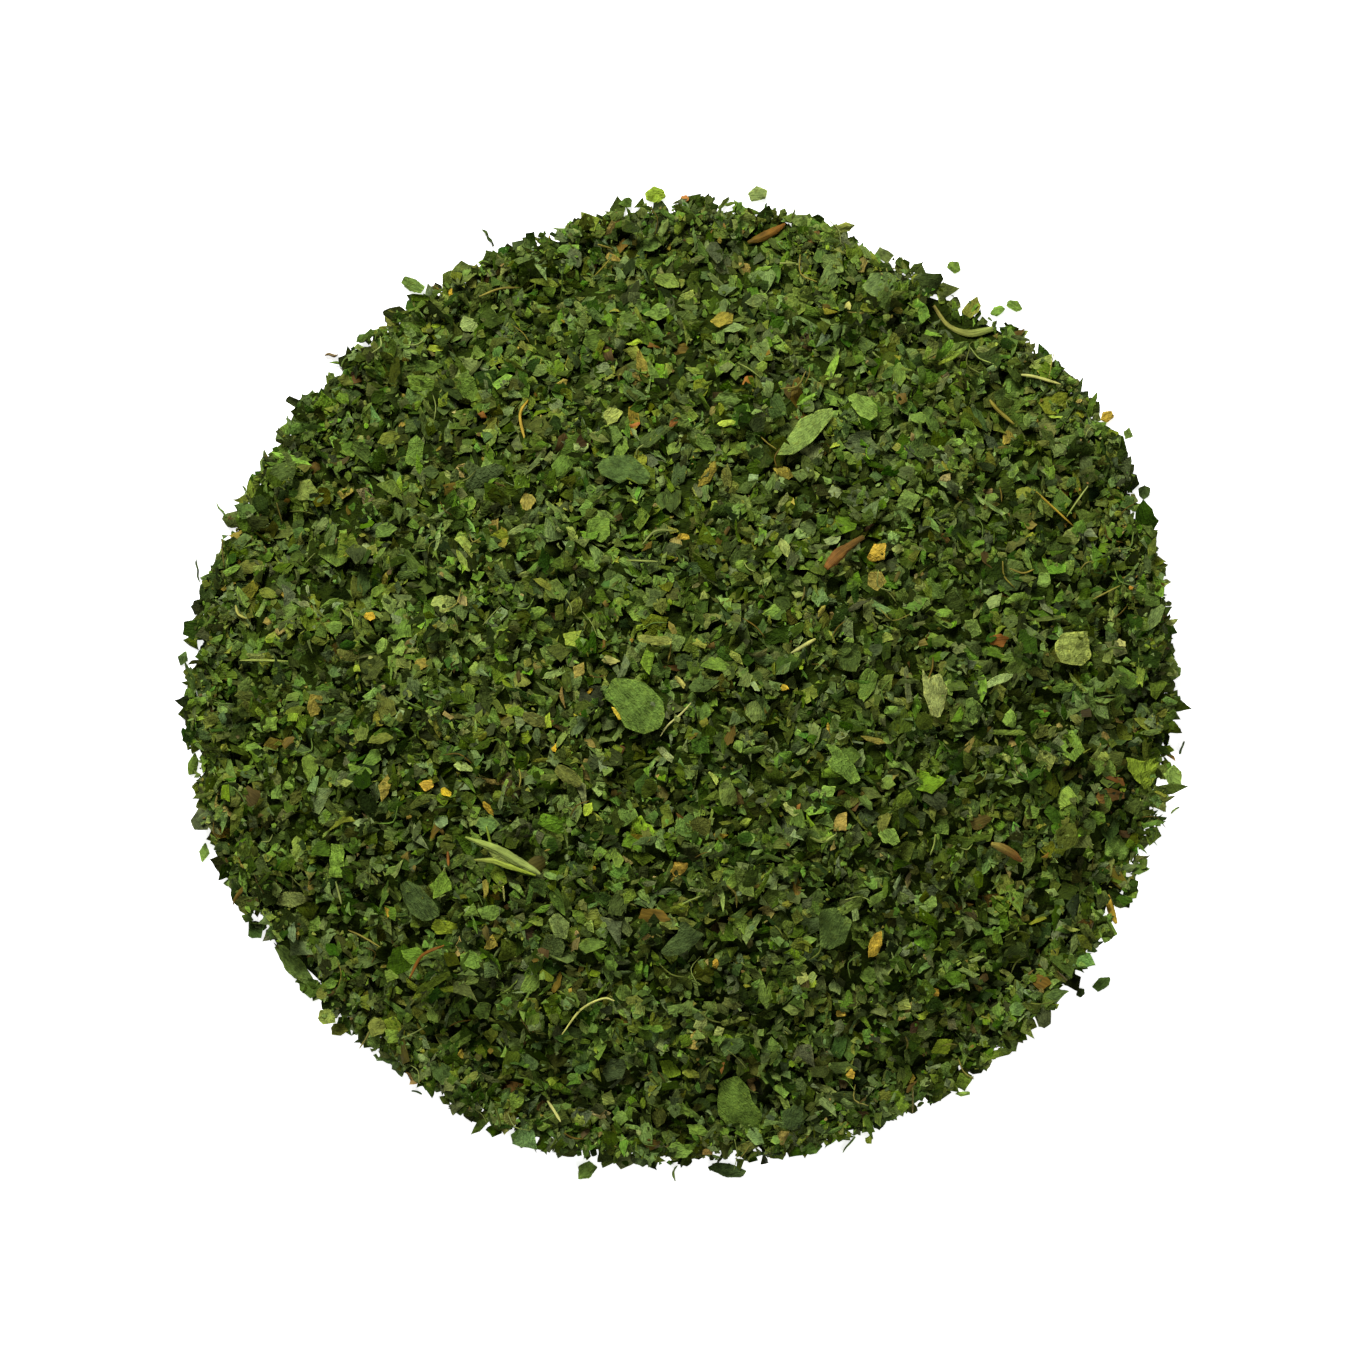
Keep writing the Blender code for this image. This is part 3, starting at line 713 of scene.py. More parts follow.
def dried_leaf_group():
    """Colour, roughness and height of a dried leaf, from its tint, place and rim."""
    group, given, out = new_surface_group("dried_leaf", ("Mottling", "Veins", "Pale Rim"))
    place = given["Place"]
    broad = noise(group, place, scale=0.75, detail=2.0, roughness=0.55)
    fine = noise(group, squeezed(group, place, FIBRE_SQUEEZE), scale=2.2, detail=3.5, roughness=0.62)
    broad_light = ranged(group, broad, (0.3, 0.7), (-0.5, 0.5))
    fine_light = ranged(group, fine, (0.32, 0.68), (-0.55, 0.55))
    lightness = maths(group, "ADD", broad_light, fine_light)
    lightness = maths(group, "MULTIPLY_ADD", lightness, given["Mottling"], 1.0)
    colour = scaled_colour(group, given["Tint"], lightness)

    patches = noise(group, place, scale=1.3, detail=2.0, roughness=0.5)
    colour = changed(group, ranged(group, patches, (0.56, 0.76), (0.0, 0.4)), colour, YELLOWED)

    cells = add_node(group, "ShaderNodeTexVoronoi", feature="DISTANCE_TO_EDGE")
    feed(group, cells.inputs["Vector"], place)
    cells.inputs["Scale"].default_value = 1.25
    vein = ranged(group, cells.outputs["Distance"], (0.0, 0.11), (1.0, 0.0))
    vein = maths(group, "MULTIPLY", vein, given["Veins"])
    colour = changed(group, vein, colour, VEIN_LIGHT)

    worn = ranged(group, given["Rim"], (0.72, 1.0), (0.0, 1.0))
    worn = maths(group, "MULTIPLY", worn, ranged(group, fine, (0.42, 0.62), (0.0, 1.0)))
    worn = maths(group, "MULTIPLY", worn, given["Pale Rim"])
    feed(group, out["Color"], changed(group, worn, colour, WORN_LIGHT))

    feed(group, out["Roughness"], ranged(group, fine, (0.3, 0.7), (0.55, 0.85)))
    crinkle = noise(group, place, scale=2.4, detail=2.5, roughness=0.55)
    height = maths(group, "MULTIPLY_ADD", fine, FINE_RELIEF, crinkle)
    feed(group, out["Height"], maths(group, "MULTIPLY_ADD", vein, VEIN_RELIEF, height))
    return group


# %% [markdown]
# ### Leaf materials
# One material could serve all leaf, because each flake's colour is in its points. But the model
# tells its finishes apart by slot, so each colour family has a material of its own.

# %% Leaf materials
LEAF_BUMP = 0.25 * MM
LEAF_SPECULAR = 0.03
LEAF_DIALS = {"Mottling": 0.6, "Veins": 0.6, "Pale Rim": 0.7}


def attribute(tree, name, output):
    """An attribute of the mesh, by its name."""
    node = add_node(tree, "ShaderNodeAttribute", attribute_type="GEOMETRY", attribute_name=name)
    return node.outputs[output]


def surface_material(name, group, dials, bump, specular):
    """A material whose Principled shader takes colour, roughness and height from one group."""
    material = bpy.data.materials.new(name)
    material.use_nodes = True
    tree = material.node_tree
    shader = tree.nodes["Principled BSDF"]
    shader.inputs["Metallic"].default_value = 0.0
    shader.inputs["Specular IOR Level"].default_value = specular
    surface = add_node(tree, "ShaderNodeGroup", node_tree=group)
    tree.links.new(attribute(tree, "tint", "Color"), surface.inputs["Tint"])
    tree.links.new(attribute(tree, "leaf_place", "Vector"), surface.inputs["Place"])
    tree.links.new(attribute(tree, "rim", "Fac"), surface.inputs["Rim"])
    for title, value in dials.items():
        surface.inputs[title].default_value = value
    relief = add_node(tree, "ShaderNodeBump")
    relief.inputs["Strength"].default_value = 1.0
    relief.inputs["Distance"].default_value = bump
    tree.links.new(surface.outputs["Height"], relief.inputs["Height"])
    tree.links.new(relief.outputs["Normal"], shader.inputs["Normal"])
    tree.links.new(surface.outputs["Color"], shader.inputs["Base Color"])
    tree.links.new(surface.outputs["Roughness"], shader.inputs["Roughness"])
    return material


leaf_surface = dried_leaf_group()
materials = {
    family: surface_material(family, leaf_surface, LEAF_DIALS, LEAF_BUMP, LEAF_SPECULAR)
    for family in ("leaf_green", "heap_green", "leaf_dark", "leaf_olive", "leaf_gold")
}
print("leaf materials:", ", ".join(materials))

# %% [markdown]
# ### Dried stalk
# A stalk splits along its fibres. Its group draws them as lines that run along the piece: the
# place is squeezed along the stem before it goes into the noise, so each speck becomes a streak.

# %% The stalk group and its materials
STREAK_SQUEEZE = (0.35, 5.0, 5.0)
SPLIT_LIGHT = (1.3, 1.22, 1.05, 1)
STALK_BUMP = 0.12 * MM
STALK_SPECULAR = 0.08
STALK_DIALS = {"Streaks": 0.45}


def stalk_group():
    """Colour, roughness and height of a dried stalk, with streaks along its first axis."""
    group, given, out = new_surface_group("dried_stalk", ("Streaks",))
    streaks = squeezed(group, given["Place"], STREAK_SQUEEZE)
    fibre = noise(group, streaks, scale=1.3, detail=3.0, roughness=0.6)
    blotch = noise(group, given["Place"], scale=0.9, detail=2.0, roughness=0.5)
    fibre_light = ranged(group, fibre, (0.3, 0.7), (-0.6, 0.6))
    blotch_light = ranged(group, blotch, (0.3, 0.7), (-0.4, 0.4))
    lightness = maths(group, "ADD", fibre_light, blotch_light)
    lightness = maths(group, "MULTIPLY_ADD", lightness, given["Streaks"], 1.0)
    colour = scaled_colour(group, given["Tint"], lightness)
    ends = ranged(group, given["Rim"], (0.8, 1.0), (0.0, 0.5))
    feed(group, out["Color"], changed(group, ends, colour, SPLIT_LIGHT))
    feed(group, out["Roughness"], ranged(group, fibre, (0.3, 0.7), (0.45, 0.75)))
    feed(group, out["Height"], fibre)
    return group


stalk_surface = stalk_group()
for family in ("stalk_brown", "stem_pale"):
    materials[family] = surface_material(
        family, stalk_surface, STALK_DIALS, STALK_BUMP, STALK_SPECULAR
    )
print("materials:", len(materials))

# %% [markdown]
# ## The bed inside the heap
# Light that finds a way between the flakes has to end on more dried leaf, and not on the table.
# The bed is one closed dome just under the flakes, and rough. It stands for more dried leaf, but its
# near-black tint is painted shade, for the deep shade in the gaps. It is a polar grid: the points
# of ring i stand at the share i / rings of the dome's radius, lifted by the dome's formula and
# some waves, and a flat disc closes it on the table.

# %% The bed
BED_RINGS = 60
BED_SIDES = 240
BED_INSET = 1.8
BED_FRAY = 0.35
BED_SEED = 3
BED_DROP = 0.15
BED_LOWEST = 0.3
BED_WAVE_HEIGHT = 0.12
BED_WAVES = ((1.9, 0.7), (-1.1, 2.3), (1.3, -2.1))
# painted shade: the bed's tint is far darker than the dried leaf it stands for, so the gaps look deep in
# shade
BED_PAINTED_SHADE = (0.013, 0.022, 0.0015)


def bed_points():
    """A polar grid under the skin: share s of the radius, lifted to a share of the dome's height,
    with three waves added whose height goes to nothing at the edge. The edge is ragged."""
    share = (np.arange(1, BED_RINGS + 1) / BED_RINGS)[:, None]
    angle = (np.arange(BED_SIDES) / BED_SIDES * FULL_TURN)[None, :]
    ragged = np.random.default_rng(BED_SEED).normal(0, BED_FRAY, (1, BED_SIDES)) * share ** 10
    reach = (outline_radius(angle) - BED_INSET + ragged) * share
    x = HEAP_MIDDLE[0] + reach * np.cos(angle)
    y = HEAP_MIDDLE[1] + reach * np.sin(angle)
    waves = sum(np.sin(per_x * x + per_y * y) for per_x, per_y in BED_WAVES)
    height = dome_height(x, y) * BED_SHARE - BED_DROP + BED_WAVE_HEIGHT * waves * (1 - share ** 8)
    height = np.maximum(height, BED_LOWEST)
    height[-1, :] = TABLE_GAP
    top = np.stack([x, y, height], axis=2).reshape(-1, 3)
    peak = np.array([[*HEAP_MIDDLE, DOME_HEIGHT * BED_SHARE - BED_DROP]])
    foot = np.array([[*HEAP_MIDDLE, TABLE_GAP]])
    return np.concatenate([top, peak, foot])


def bed_faces():
    """Triangles of the grid's squares, a fan at the peak, and a fan that closes the foot."""
    ring, side = np.meshgrid(np.arange(BED_RINGS - 1), np.arange(BED_SIDES), indexing="ij")
    after = (side + 1) % BED_SIDES
    a, b = ring * BED_SIDES + side, ring * BED_SIDES + after
    c, d = a + BED_SIDES, b + BED_SIDES
    first, second = np.stack([a, c, d], 2), np.stack([a, d, b], 2)
    squares = np.concatenate([first.reshape(-1, 3), second.reshape(-1, 3)])
    line = np.arange(BED_SIDES)
    line_after = (line + 1) % BED_SIDES
    peak, foot = BED_RINGS * BED_SIDES, BED_RINGS * BED_SIDES + 1
    rim = (BED_RINGS - 1) * BED_SIDES
    top_fan = np.stack([line, line_after, np.full(BED_SIDES, peak)], 1)
    foot_fan = np.stack([rim + line_after, rim + line, np.full(BED_SIDES, foot)], 1)
    return np.concatenate([squares, top_fan, foot_fan])


# seen from above on the bake map: the top fills its left half, and the foot its right half
BED_MAP_WIDTH = 2.04
points, faces = bed_points(), bed_faces()
spread = np.abs(points[:, :2]).max() * BED_MAP_WIDTH
square = points[:, :2] / spread + 0.5
bed_map = square[faces] * np.array([0.5, 1.0])
bed_map[-BED_SIDES:] += np.array([0.5, 0.0])
bed = make_piece(
    "heap_bed",
    points,
    faces,
    # painted shade: the bed's near-black tint
    np.tile(BED_PAINTED_SHADE, (len(points), 1)),
    points,
    np.zeros(len(points)),
    bed_map,
)
bed.data.materials.append(materials["heap_green"])
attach(bed, "root")
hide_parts("flake_heap")
print("bed triangles:", len(faces))

# %% [markdown]
# ## Putting flakes into one mesh
# Each flake could be an object, but thousands of objects would be slow, so all flakes of one colour
# family share a mesh. On the bake map each flake has two small squares of its own, one for each
# face. Each flake also reads the leaf's patterns at a place of its own.

# %% Atlas and joining
ATLAS_MARGIN = 0.09
ATLAS_ROOM = 1.12
PATTERN_REACH = 60


def atlas(kind, flat, half_size):
    """Places on the unit square for every corner of every triangle of many flakes.

    Face number f of all faces goes to square f of a square table. In it the flat leaf is scaled
    so that its larger half size, with some room to spare, reaches the square's sides.
    """
    count = len(flat)
    squares = math.ceil(math.sqrt(2 * count))
    number = np.arange(count)[:, None] * 2 + np.array([0, 1])[None, :]
    corner = np.stack([number % squares, number // squares], axis=2)
    local = flat / (half_size.max(axis=1)[:, None, None] * ATLAS_ROOM) / 2
    local = local * (1 - 2 * ATLAS_MARGIN) + 0.5
    face_side = (np.arange(len(kind.faces)) >= kind.upper_faces).astype(int)
    own = local[:, kind.faces, :]
    return ((own + corner[:, face_side, None, :]) / squares).reshape(-1, 2)


def join_flakes(name, family, kind, points, flat, half_size, tint, draw, covers):
    """One piece from many flakes, with its material, its map and its place in the model."""
    count = len(points)
    offset = (np.arange(count) * kind.count)[:, None, None]
    faces = (kind.faces[None, :, :] + offset).reshape(-1, 3)
    elsewhere = draw.uniform(-PATTERN_REACH, PATTERN_REACH, (count, 1, 3))
    leaf_place = np.concatenate([flat, np.zeros((count, kind.count, 1))], axis=2) + elsewhere
    piece = make_piece(
        name,
        points.reshape(-1, 3),
        faces,
        np.repeat(tint, kind.count, axis=0),
        leaf_place.reshape(-1, 3),
        np.tile(kind.share, count),
        atlas(kind, flat, half_size),
        sharp=np.tile(kind.side == 0, count),
    )
    piece.data.materials.append(materials[family])
    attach(piece, "root")
    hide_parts(*covers)
    print(name, "flakes:", count, "triangles:", len(faces))
    return piece


# %% [markdown]
# ## The common flakes
# The heap's skin is the top few layers of flakes. All of them could be laid in one run, but then
# the pieces that stand out would be buried, or lie on top of everything. So the run has two parts:
# most flakes fall first, then those pieces are laid, and the last flakes fall round them. Here all
# sizes and places are drawn. At the end each colour family becomes pieces of its own.

# %% Draw the flakes of the skin
SKIN_SEED = 41
SKIN_COUNT = 16400
UNDER_COUNT = 3600
EARLY_COUNT = 12200
SKIN_HALF_LONG = (1.10, 0.34, 0.5, 2.4)
SLIVER_SHARE = 0.38
SLIVER_ASPECT = (0.18, 0.45)
SLIVER_STRETCH = 1.25
CHIP_ASPECT = (0.45, 0.95)
UNDER_HALF_LONG = (1.3, 2.1)
UNDER_ASPECT = (0.6, 0.95)
SKIN_CORNERS = (3, 4, 4, 4, 6, 6)
SKIN_INSET = 1.2
FRAYED_BAND = 2.0
RIM_SHARE = 0.18
RIM_BAND = (0.9, 5.0)
RIM_FRAY = 0.3
SKIN_LEAN = 0.36
SKIN_SINK = (0.08, 0.3)
SKIN_BENDS = {
    "roll": 0.85,
    "second_roll": 0.35,
    "twist": 0.4,
    "crease": 0.36,
    "ripple": 0.09,
    "ripple_length": (1.0, 2.2),
}
FLAKE_TOP = (0.1, 0.22)
FLAKE_THICKNESS = (0.12, 0.2)


def scatter(draw, count, fray):
    """Even places over the heap: a drawn direction, and a distance that is the square root of a
    drawn share of the outline's radius. Some more fall in a band along the edge, where no dome
    lies under them, and the outermost are blurred outwards."""
    angle = draw.uniform(0, FULL_TURN, count)
    edge = outline_radius(angle)
    share = np.sqrt(draw.uniform(0, 1, count))
    in_band = draw.random(count) < RIM_SHARE
    reach = np.where(in_band, edge - draw.uniform(*RIM_BAND, count), (edge - SKIN_INSET) * share)
    at_edge = reach > edge - FRAYED_BAND
    reach = reach + np.abs(draw.normal(0, fray, count)) * at_edge
    return HEAP_MIDDLE[0] + reach * np.cos(angle), HEAP_MIDDLE[1] + reach * np.sin(angle)


def lay_flakes(draw, kind, x, y, half_size, turn, corners, lean, sink, bends, tearing=0.05):
    """Settle flakes in turn, then cut, bend and place all of them.

    lean is the width of the bell curve of drawn slopes, sink the range of drawn depths, and
    bends holds the widths for draw_shapes.
    """
    count = len(x)
    leans = draw.normal(0, lean, (count, 2))
    sinks = draw.uniform(*sink, count)
    tops = draw.uniform(*FLAKE_TOP, count)
    laid = settle_all(x, y, half_size, turn, leans, sinks, tops)
    shapes = draw_shapes(draw, count, **bends)
    rims = cut_outlines(draw, corners, kind.rim_points, tearing)
    thick = draw.uniform(*FLAKE_THICKNESS, count)
    points, flat = bent_flakes(kind, rims, half_size, shapes, thick)
    points = stand_in_place(points, x, y, laid, turn)
    lowest = points[:, :, 2].min(axis=1)
    points[:, :, 2] += np.maximum(TABLE_GAP - lowest, 0)[:, None]
    return points, flat


skin_draw = np.random.default_rng(SKIN_SEED)
middle, width, low, high = SKIN_HALF_LONG
half_long = (middle * np.exp(skin_draw.normal(0, width, SKIN_COUNT))).clip(low, high)
sliver = skin_draw.random(SKIN_COUNT) < SLIVER_SHARE
sliver_aspect = skin_draw.uniform(*SLIVER_ASPECT, SKIN_COUNT)
chip_aspect = skin_draw.uniform(*CHIP_ASPECT, SKIN_COUNT)
aspect = np.where(sliver, sliver_aspect, chip_aspect)
half_long = half_long * np.where(sliver, SLIVER_STRETCH, 1.0)
under = np.arange(SKIN_COUNT) < UNDER_COUNT
half_long[under] = skin_draw.uniform(*UNDER_HALF_LONG, UNDER_COUNT)
aspect[under] = skin_draw.uniform(*UNDER_ASPECT, UNDER_COUNT)
skin_half = np.stack([half_long, half_long * aspect], axis=1)
skin_x, skin_y = scatter(skin_draw, SKIN_COUNT, RIM_FRAY)
skin_turn = skin_draw.uniform(0, FULL_TURN, SKIN_COUNT)
skin_corners = skin_draw.choice(np.array(SKIN_CORNERS), SKIN_COUNT)
print("mean flake length in millimetres:", round(float(2 * half_long.mean()), 2))

# %% [markdown]
# ## The pieces that stand out
# Some pieces catch the eye: the large leaves, gold bits, splinters and stems. The model has a
# solid for each of the largest. The solid itself could be shown, but it is a plain thick chip. So
# its place, slope and outline are read off it, and a bent, veined leaf takes its stead. The outline
# comes from the support function: how far the solid reaches in each direction. From it follows the
# distance to the edge at any angle. Leaves with a form of their own get an outline listed corner by
# corner instead.

# %% Read the model's leaves
TAKEN_SHADES = {
    "leaf_centre": "green",
    "leaf_long": "bright",
    "leaf_round": "bright",
    "leaf_back_dark": "dark",
    "leaf_right_bright": "lime",
    "leaf_left_square": "bright",
    "leaf_left_dark": "dark",
    "leaf_rim_long": "green",
    "leaf_bud": "straw",
    "leaf_square": "green",
    "leaf_right_green": "bright",
    "leaf_top": "green",
    "leaf_top_olive": "tan",
    "leaf_front_dark": "dark",
    "leaf_front_pale": "pale",
    "leaf_front_large": "bright",
    "leaf_front_square": "dark",
    "leaf_corner_square": "lime",
    "leaf_brown_green": "olive",
    "leaf_right_small": "bright",
    "leaf_right_pale": "straw",
    "leaf_right_olive": "straw",
    "gold_bit_right": "tan",
    "gold_bit_front": "gold",
    "gold_bit_centre": "olive",
    "gold_bit_left": "tan",
    "gold_bit_seed": "tan",
    "brown_bit_top": "brown",
}
STRAY_SHADES = (
    "dark", "green", "brown", "green", "dark", "dark", "green", "green",
    "dark", "dark", "bright", "green", "dark", "bright", "dark", "green",
    "dark", "dark", "gold", "bright", "bright", "lime", "pale", "bright",
)
for number, shade in enumerate(STRAY_SHADES, start=1):
    TAKEN_SHADES[f"stray_flake_{number:02d}"] = shade

CUT_BY_HAND = {
    # corners (x, y) of outlines with a form of their own, as the camera shows them
    "leaf_centre": (
        (-8.9, -1.6), (-7.9, 0.6), (-6.2, 0.5), (-4.4, 0.1), (-3.3, -0.9), (-2.3, -2.1),
        (-2.1, -3.6), (-2.6, -5.0), (-4.4, -5.7), (-6.5, -5.0), (-7.9, -2.4),
    ),
    "leaf_long": (
        (10.2, 25.0), (12.1, 25.3), (14.3, 26.9), (16.5, 29.4), (16.6, 30.3), (15.1, 30.3),
        (12.9, 29.4), (12.1, 28.1), (10.9, 26.4),
    ),
    "leaf_round": (
        (18.2, 31.9), (19.0, 32.2), (20.7, 31.7), (21.5, 30.8), (21.5, 29.7), (20.7, 29.1),
        (19.6, 29.4), (18.6, 30.8),
    ),
    "leaf_back_dark": (
        (-9.7, 24.1), (-8.7, 25.2), (-5.9, 25.4), (-4.6, 24.2), (-3.6, 23.1), (-4.1, 22.1),
        (-5.2, 22.1), (-6.0, 22.8), (-7.1, 22.2), (-9.1, 23.1),
    ),
    "leaf_right_bright": (
        (49.1, -8.2), (50.9, -8.7), (53.2, -8.1), (53.0, -9.4), (52.1, -11.1), (51.2, -11.9),
        (50.4, -11.1), (49.4, -9.7),
    ),
    "leaf_left_square": ((-39.2, -17.8), (-37.7, -17.9), (-37.8, -21.7), (-39.5, -21.5)),
    "leaf_left_dark": (
        (-31.7, -22.5), (-30.7, -21.9), (-29.1, -22.8), (-27.4, -24.7), (-27.1, -25.8),
        (-28.2, -26.4), (-29.1, -26.4), (-30.4, -25.6), (-31.3, -24.2),
    ),
    "leaf_front_large": (
        (3.8, -47.8), (3.7, -46.4), (4.0, -44.4), (5.9, -43.6), (7.1, -44.7), (7.6, -46.4),
        (8.7, -47.8), (8.4, -50.0), (7.1, -50.3), (6.2, -48.9), (4.8, -49.2),
    ),
    "leaf_front_square": (
        (15.0, -25.3), (16.8, -25.0), (18.7, -26.4), (17.9, -28.9), (16.2, -29.7), (15.1, -29.2),
    ),
    "leaf_right_green": (
        (15.6, -6.7), (16.8, -6.9), (17.9, -7.8), (19.0, -9.2), (19.7, -10.8), (18.6, -11.3),
        (17.6, -10.3), (16.5, -9.7), (15.9, -8.9), (16.5, -8.1),
    ),
    "leaf_front_dark": (
        (-2.7, -30.0), (-1.6, -28.6), (-0.7, -27.8), (-0.4, -26.4), (0.4, -26.4), (0.9, -27.1),
        (2.3, -27.9), (1.2, -29.2), (-0.4, -30.2), (-1.8, -30.4),
    ),
    "leaf_right_pale": (
        (41.2, 2.5), (41.1, 4.2), (42.1, 5.6), (44.8, 5.8), (45.1, 3.9), (45.4, 2.8),
        (44.3, 1.9), (42.3, 2.1),
    ),
    "leaf_right_olive": (
        (26.5, 1.7), (27.1, 0.6), (28.4, 1.1), (29.3, -0.6), (29.0, -2.8), (28.4, -3.9),
        (27.3, -3.6), (26.6, -1.4),
    ),
}


DIRECTIONS = 240
LEAST_COSINE = 0.08


def node_points(name):
    """The corners of one solid of the model, in millimetres."""
    mesh = nodes[name].data
    flat = np.empty(len(mesh.vertices) * 3)
    mesh.vertices.foreach_get("co", flat)
    return flat.reshape(-1, 3) / MM


def lying_axes(points):
    """The middle of some points and three axes, from the longest spread to the shortest one,
    by the singular value decomposition. The third axis points up."""
    middle = (points.max(axis=0) + points.min(axis=0)) / 2
    axes = np.linalg.svd(points - points.mean(axis=0), full_matrices=False)[2]
    if axes[2, 2] < 0:
        axes[2] = -axes[2]
    axes[1] = np.cross(axes[2], axes[0])
    return middle, axes


def edge_distances(flat, angles):
    """How far a flat convex form reaches from its middle at some angles.

    With h(t) the furthest reach in direction t, the edge at angle a is at the smallest of
    h(t) / cos(a - t) over all directions t within a quarter turn of a.
    """
    directions = np.linspace(0, FULL_TURN, DIRECTIONS, endpoint=False)
    reach = (flat @ np.stack([np.cos(directions), np.sin(directions)])).max(axis=0)
    cosine = np.cos(angles[:, None] - directions[None, :])
    edge = reach[None, :] / np.maximum(cosine, LEAST_COSINE)
    return np.where(cosine > LEAST_COSINE, edge, np.inf).min(axis=1)


def hand_cut_rim(corners, middle, axes):
    """Rim points at even steps of length along a polygon that the camera shows.

    Each corner moves nearer to the middle of the view by the piece's height, and goes straight
    down onto the piece's plane: with normal n, its height over the piece's middle is less
    (n_x x + n_y y) / n_z. The polygon runs against the clock, as all outlines do.
    """
    away = np.array(corners) * (1 - middle[2] / CAMERA_HEIGHT) - middle[:2]
    lift = -(away @ axes[2, :2]) / axes[2, 2]
    flat = np.column_stack([away, lift]) @ axes[:2].T
    x, y = flat.T
    if x @ np.roll(y, -1) - y @ np.roll(x, -1) < 0:
        flat = flat[::-1]
    closed = np.concatenate([flat, flat[:1]])
    length = np.concatenate([[0], np.cumsum(np.linalg.norm(np.diff(closed, axis=0), axis=1))])
    place = np.arange(LEAF.rim_points) / LEAF.rim_points * length[-1]
    rim_x = np.interp(place, length, closed[:, 0])
    rim_y = np.interp(place, length, closed[:, 1])
    return np.stack([rim_x, rim_y], axis=1)


print("leaves and bits with a shade:", len(TAKEN_SHADES), "cut by hand:", len(CUT_BY_HAND))

# %% [markdown]
# ### The early flakes
# Most of the skin falls first. On the real heap nothing lies on the pieces that stand out, or they
# would not be seen. Flakes over them could be deleted afterwards, which leaves holes round them.
# Instead each solid of the model holds up a ceiling just under itself, and a flake that would come
# through it sinks in deeper, or isn't laid where that would take it too deep.

# %% Lay the early flakes
CEILING_DROP = 0.3
CEILING_MARGIN = 0.2
LOWEST_CEILING = 0.25
early = np.arange(SKIN_COUNT) < EARLY_COUNT
skin_points = np.empty((SKIN_COUNT, FLAKE.count, 3))
skin_flat = np.empty((SKIN_COUNT, FLAKE.count, 2))


def lower_ceiling(name):
    """Hold the early flakes under one solid of the model, so that they don't bury it."""
    points = node_points(name)
    middle, axes = lying_axes(points)
    half = np.abs((points - middle) @ axes.T).max(axis=0) + CEILING_MARGIN
    slope = -axes[2, :2] / axes[2, 2]
    turn = math.atan2(axes[0, 1], axes[0, 0])
    rows, columns, across, up, out = footprint(*middle[:2], *half[:2], turn)
    plane = middle[2] + slope[0] * across + slope[1] * up - CEILING_DROP
    plane = np.where(out < 1, np.maximum(plane, LOWEST_CEILING), np.inf)
    ceiling[rows, columns] = np.minimum(ceiling[rows, columns], plane)


def lay_skin(draw, chosen):
    """Lay the chosen flakes of the skin and keep their points."""
    skin_points[chosen], skin_flat[chosen] = lay_flakes(
        draw,
        FLAKE,
        skin_x[chosen],
        skin_y[chosen],
        skin_half[chosen],
        skin_turn[chosen],
        skin_corners[chosen],
        SKIN_LEAN,
        SKIN_SINK,
        SKIN_BENDS,
    )


for name in sorted(nodes):
    if name != "flake_heap":
        lower_ceiling(name)
lay_skin(skin_draw, early)
print("early flakes:", int(early.sum()))

# %% [markdown]
# ### The larger leaves
# A larger leaf lies on the flakes under it and hides a few of their tips. It could stay exactly at
# its solid's height, but the skin under it is uneven, so it may rise or sink a little until it
# lies on most of what is below. Then the ground under it is marked, and later flakes keep off.

# %% Lay the model's leaves
LEAF_SEED = 7
PIECE_GIVE = (-0.3, 0.7)
ON_TABLE = 1.2
REST_INSIDE = 0.9
REST_PERCENT = 85
REST_GAP = 0.12
LEAF_TOP = 0.15
LEAF_COVER = 0.8
LEAF_MARGIN = 0.25
LEAF_UNEVENNESS = 0.025
LEAF_THICKNESS = 0.22
LEAF_BENDS = {
    "roll": 0.35,
    "second_roll": 0.12,
    "twist": 0.08,
    "crease": 0.1,
    "ripple": 0.13,
    "ripple_length": (1.4, 2.6),
}
covered = np.zeros_like(ground, dtype=bool)


def mark_covered(x, y, half_long, half_short, turn):
    """Mark the ground under a piece's ellipse, so that later flakes keep off it."""
    rows, columns, across, up, out = footprint(x, y, half_long, half_short, turn)
    covered[rows, columns] |= out < 1


def leaf_rim(name, own, middle, axes, draw):
    """The outline of a leaf on its own plane, as its solid has it or as its corners are listed."""
    angles = np.arange(LEAF.rim_points) / LEAF.rim_points * FULL_TURN
    uneven = 1 + draw.normal(0, LEAF_UNEVENNESS, LEAF.rim_points)
    if name in CUT_BY_HAND:
        return hand_cut_rim(CUT_BY_HAND[name], middle, axes)
    distance = edge_distances(own[:, :2], angles) * uneven
    return np.stack([np.cos(angles) * distance, np.sin(angles) * distance], axis=1)


def rise_to_ground(middle, slope, half_size):
    """How far a leaf moves up or down to lie on most of the ground below, within its give."""
    if middle[2] < ON_TABLE:
        return 0.0
    rows, columns = window(middle[0], middle[1], half_size[0])
    across, up = cell_x[rows, columns] - middle[0], cell_y[rows, columns] - middle[1]
    inside = np.hypot(across, up) < half_size[1] * REST_INSIDE
    over = (ground[rows, columns] - slope[0] * across - slope[1] * up)[inside]
    return np.clip(np.percentile(over, REST_PERCENT) + REST_GAP - middle[2], *PIECE_GIVE)


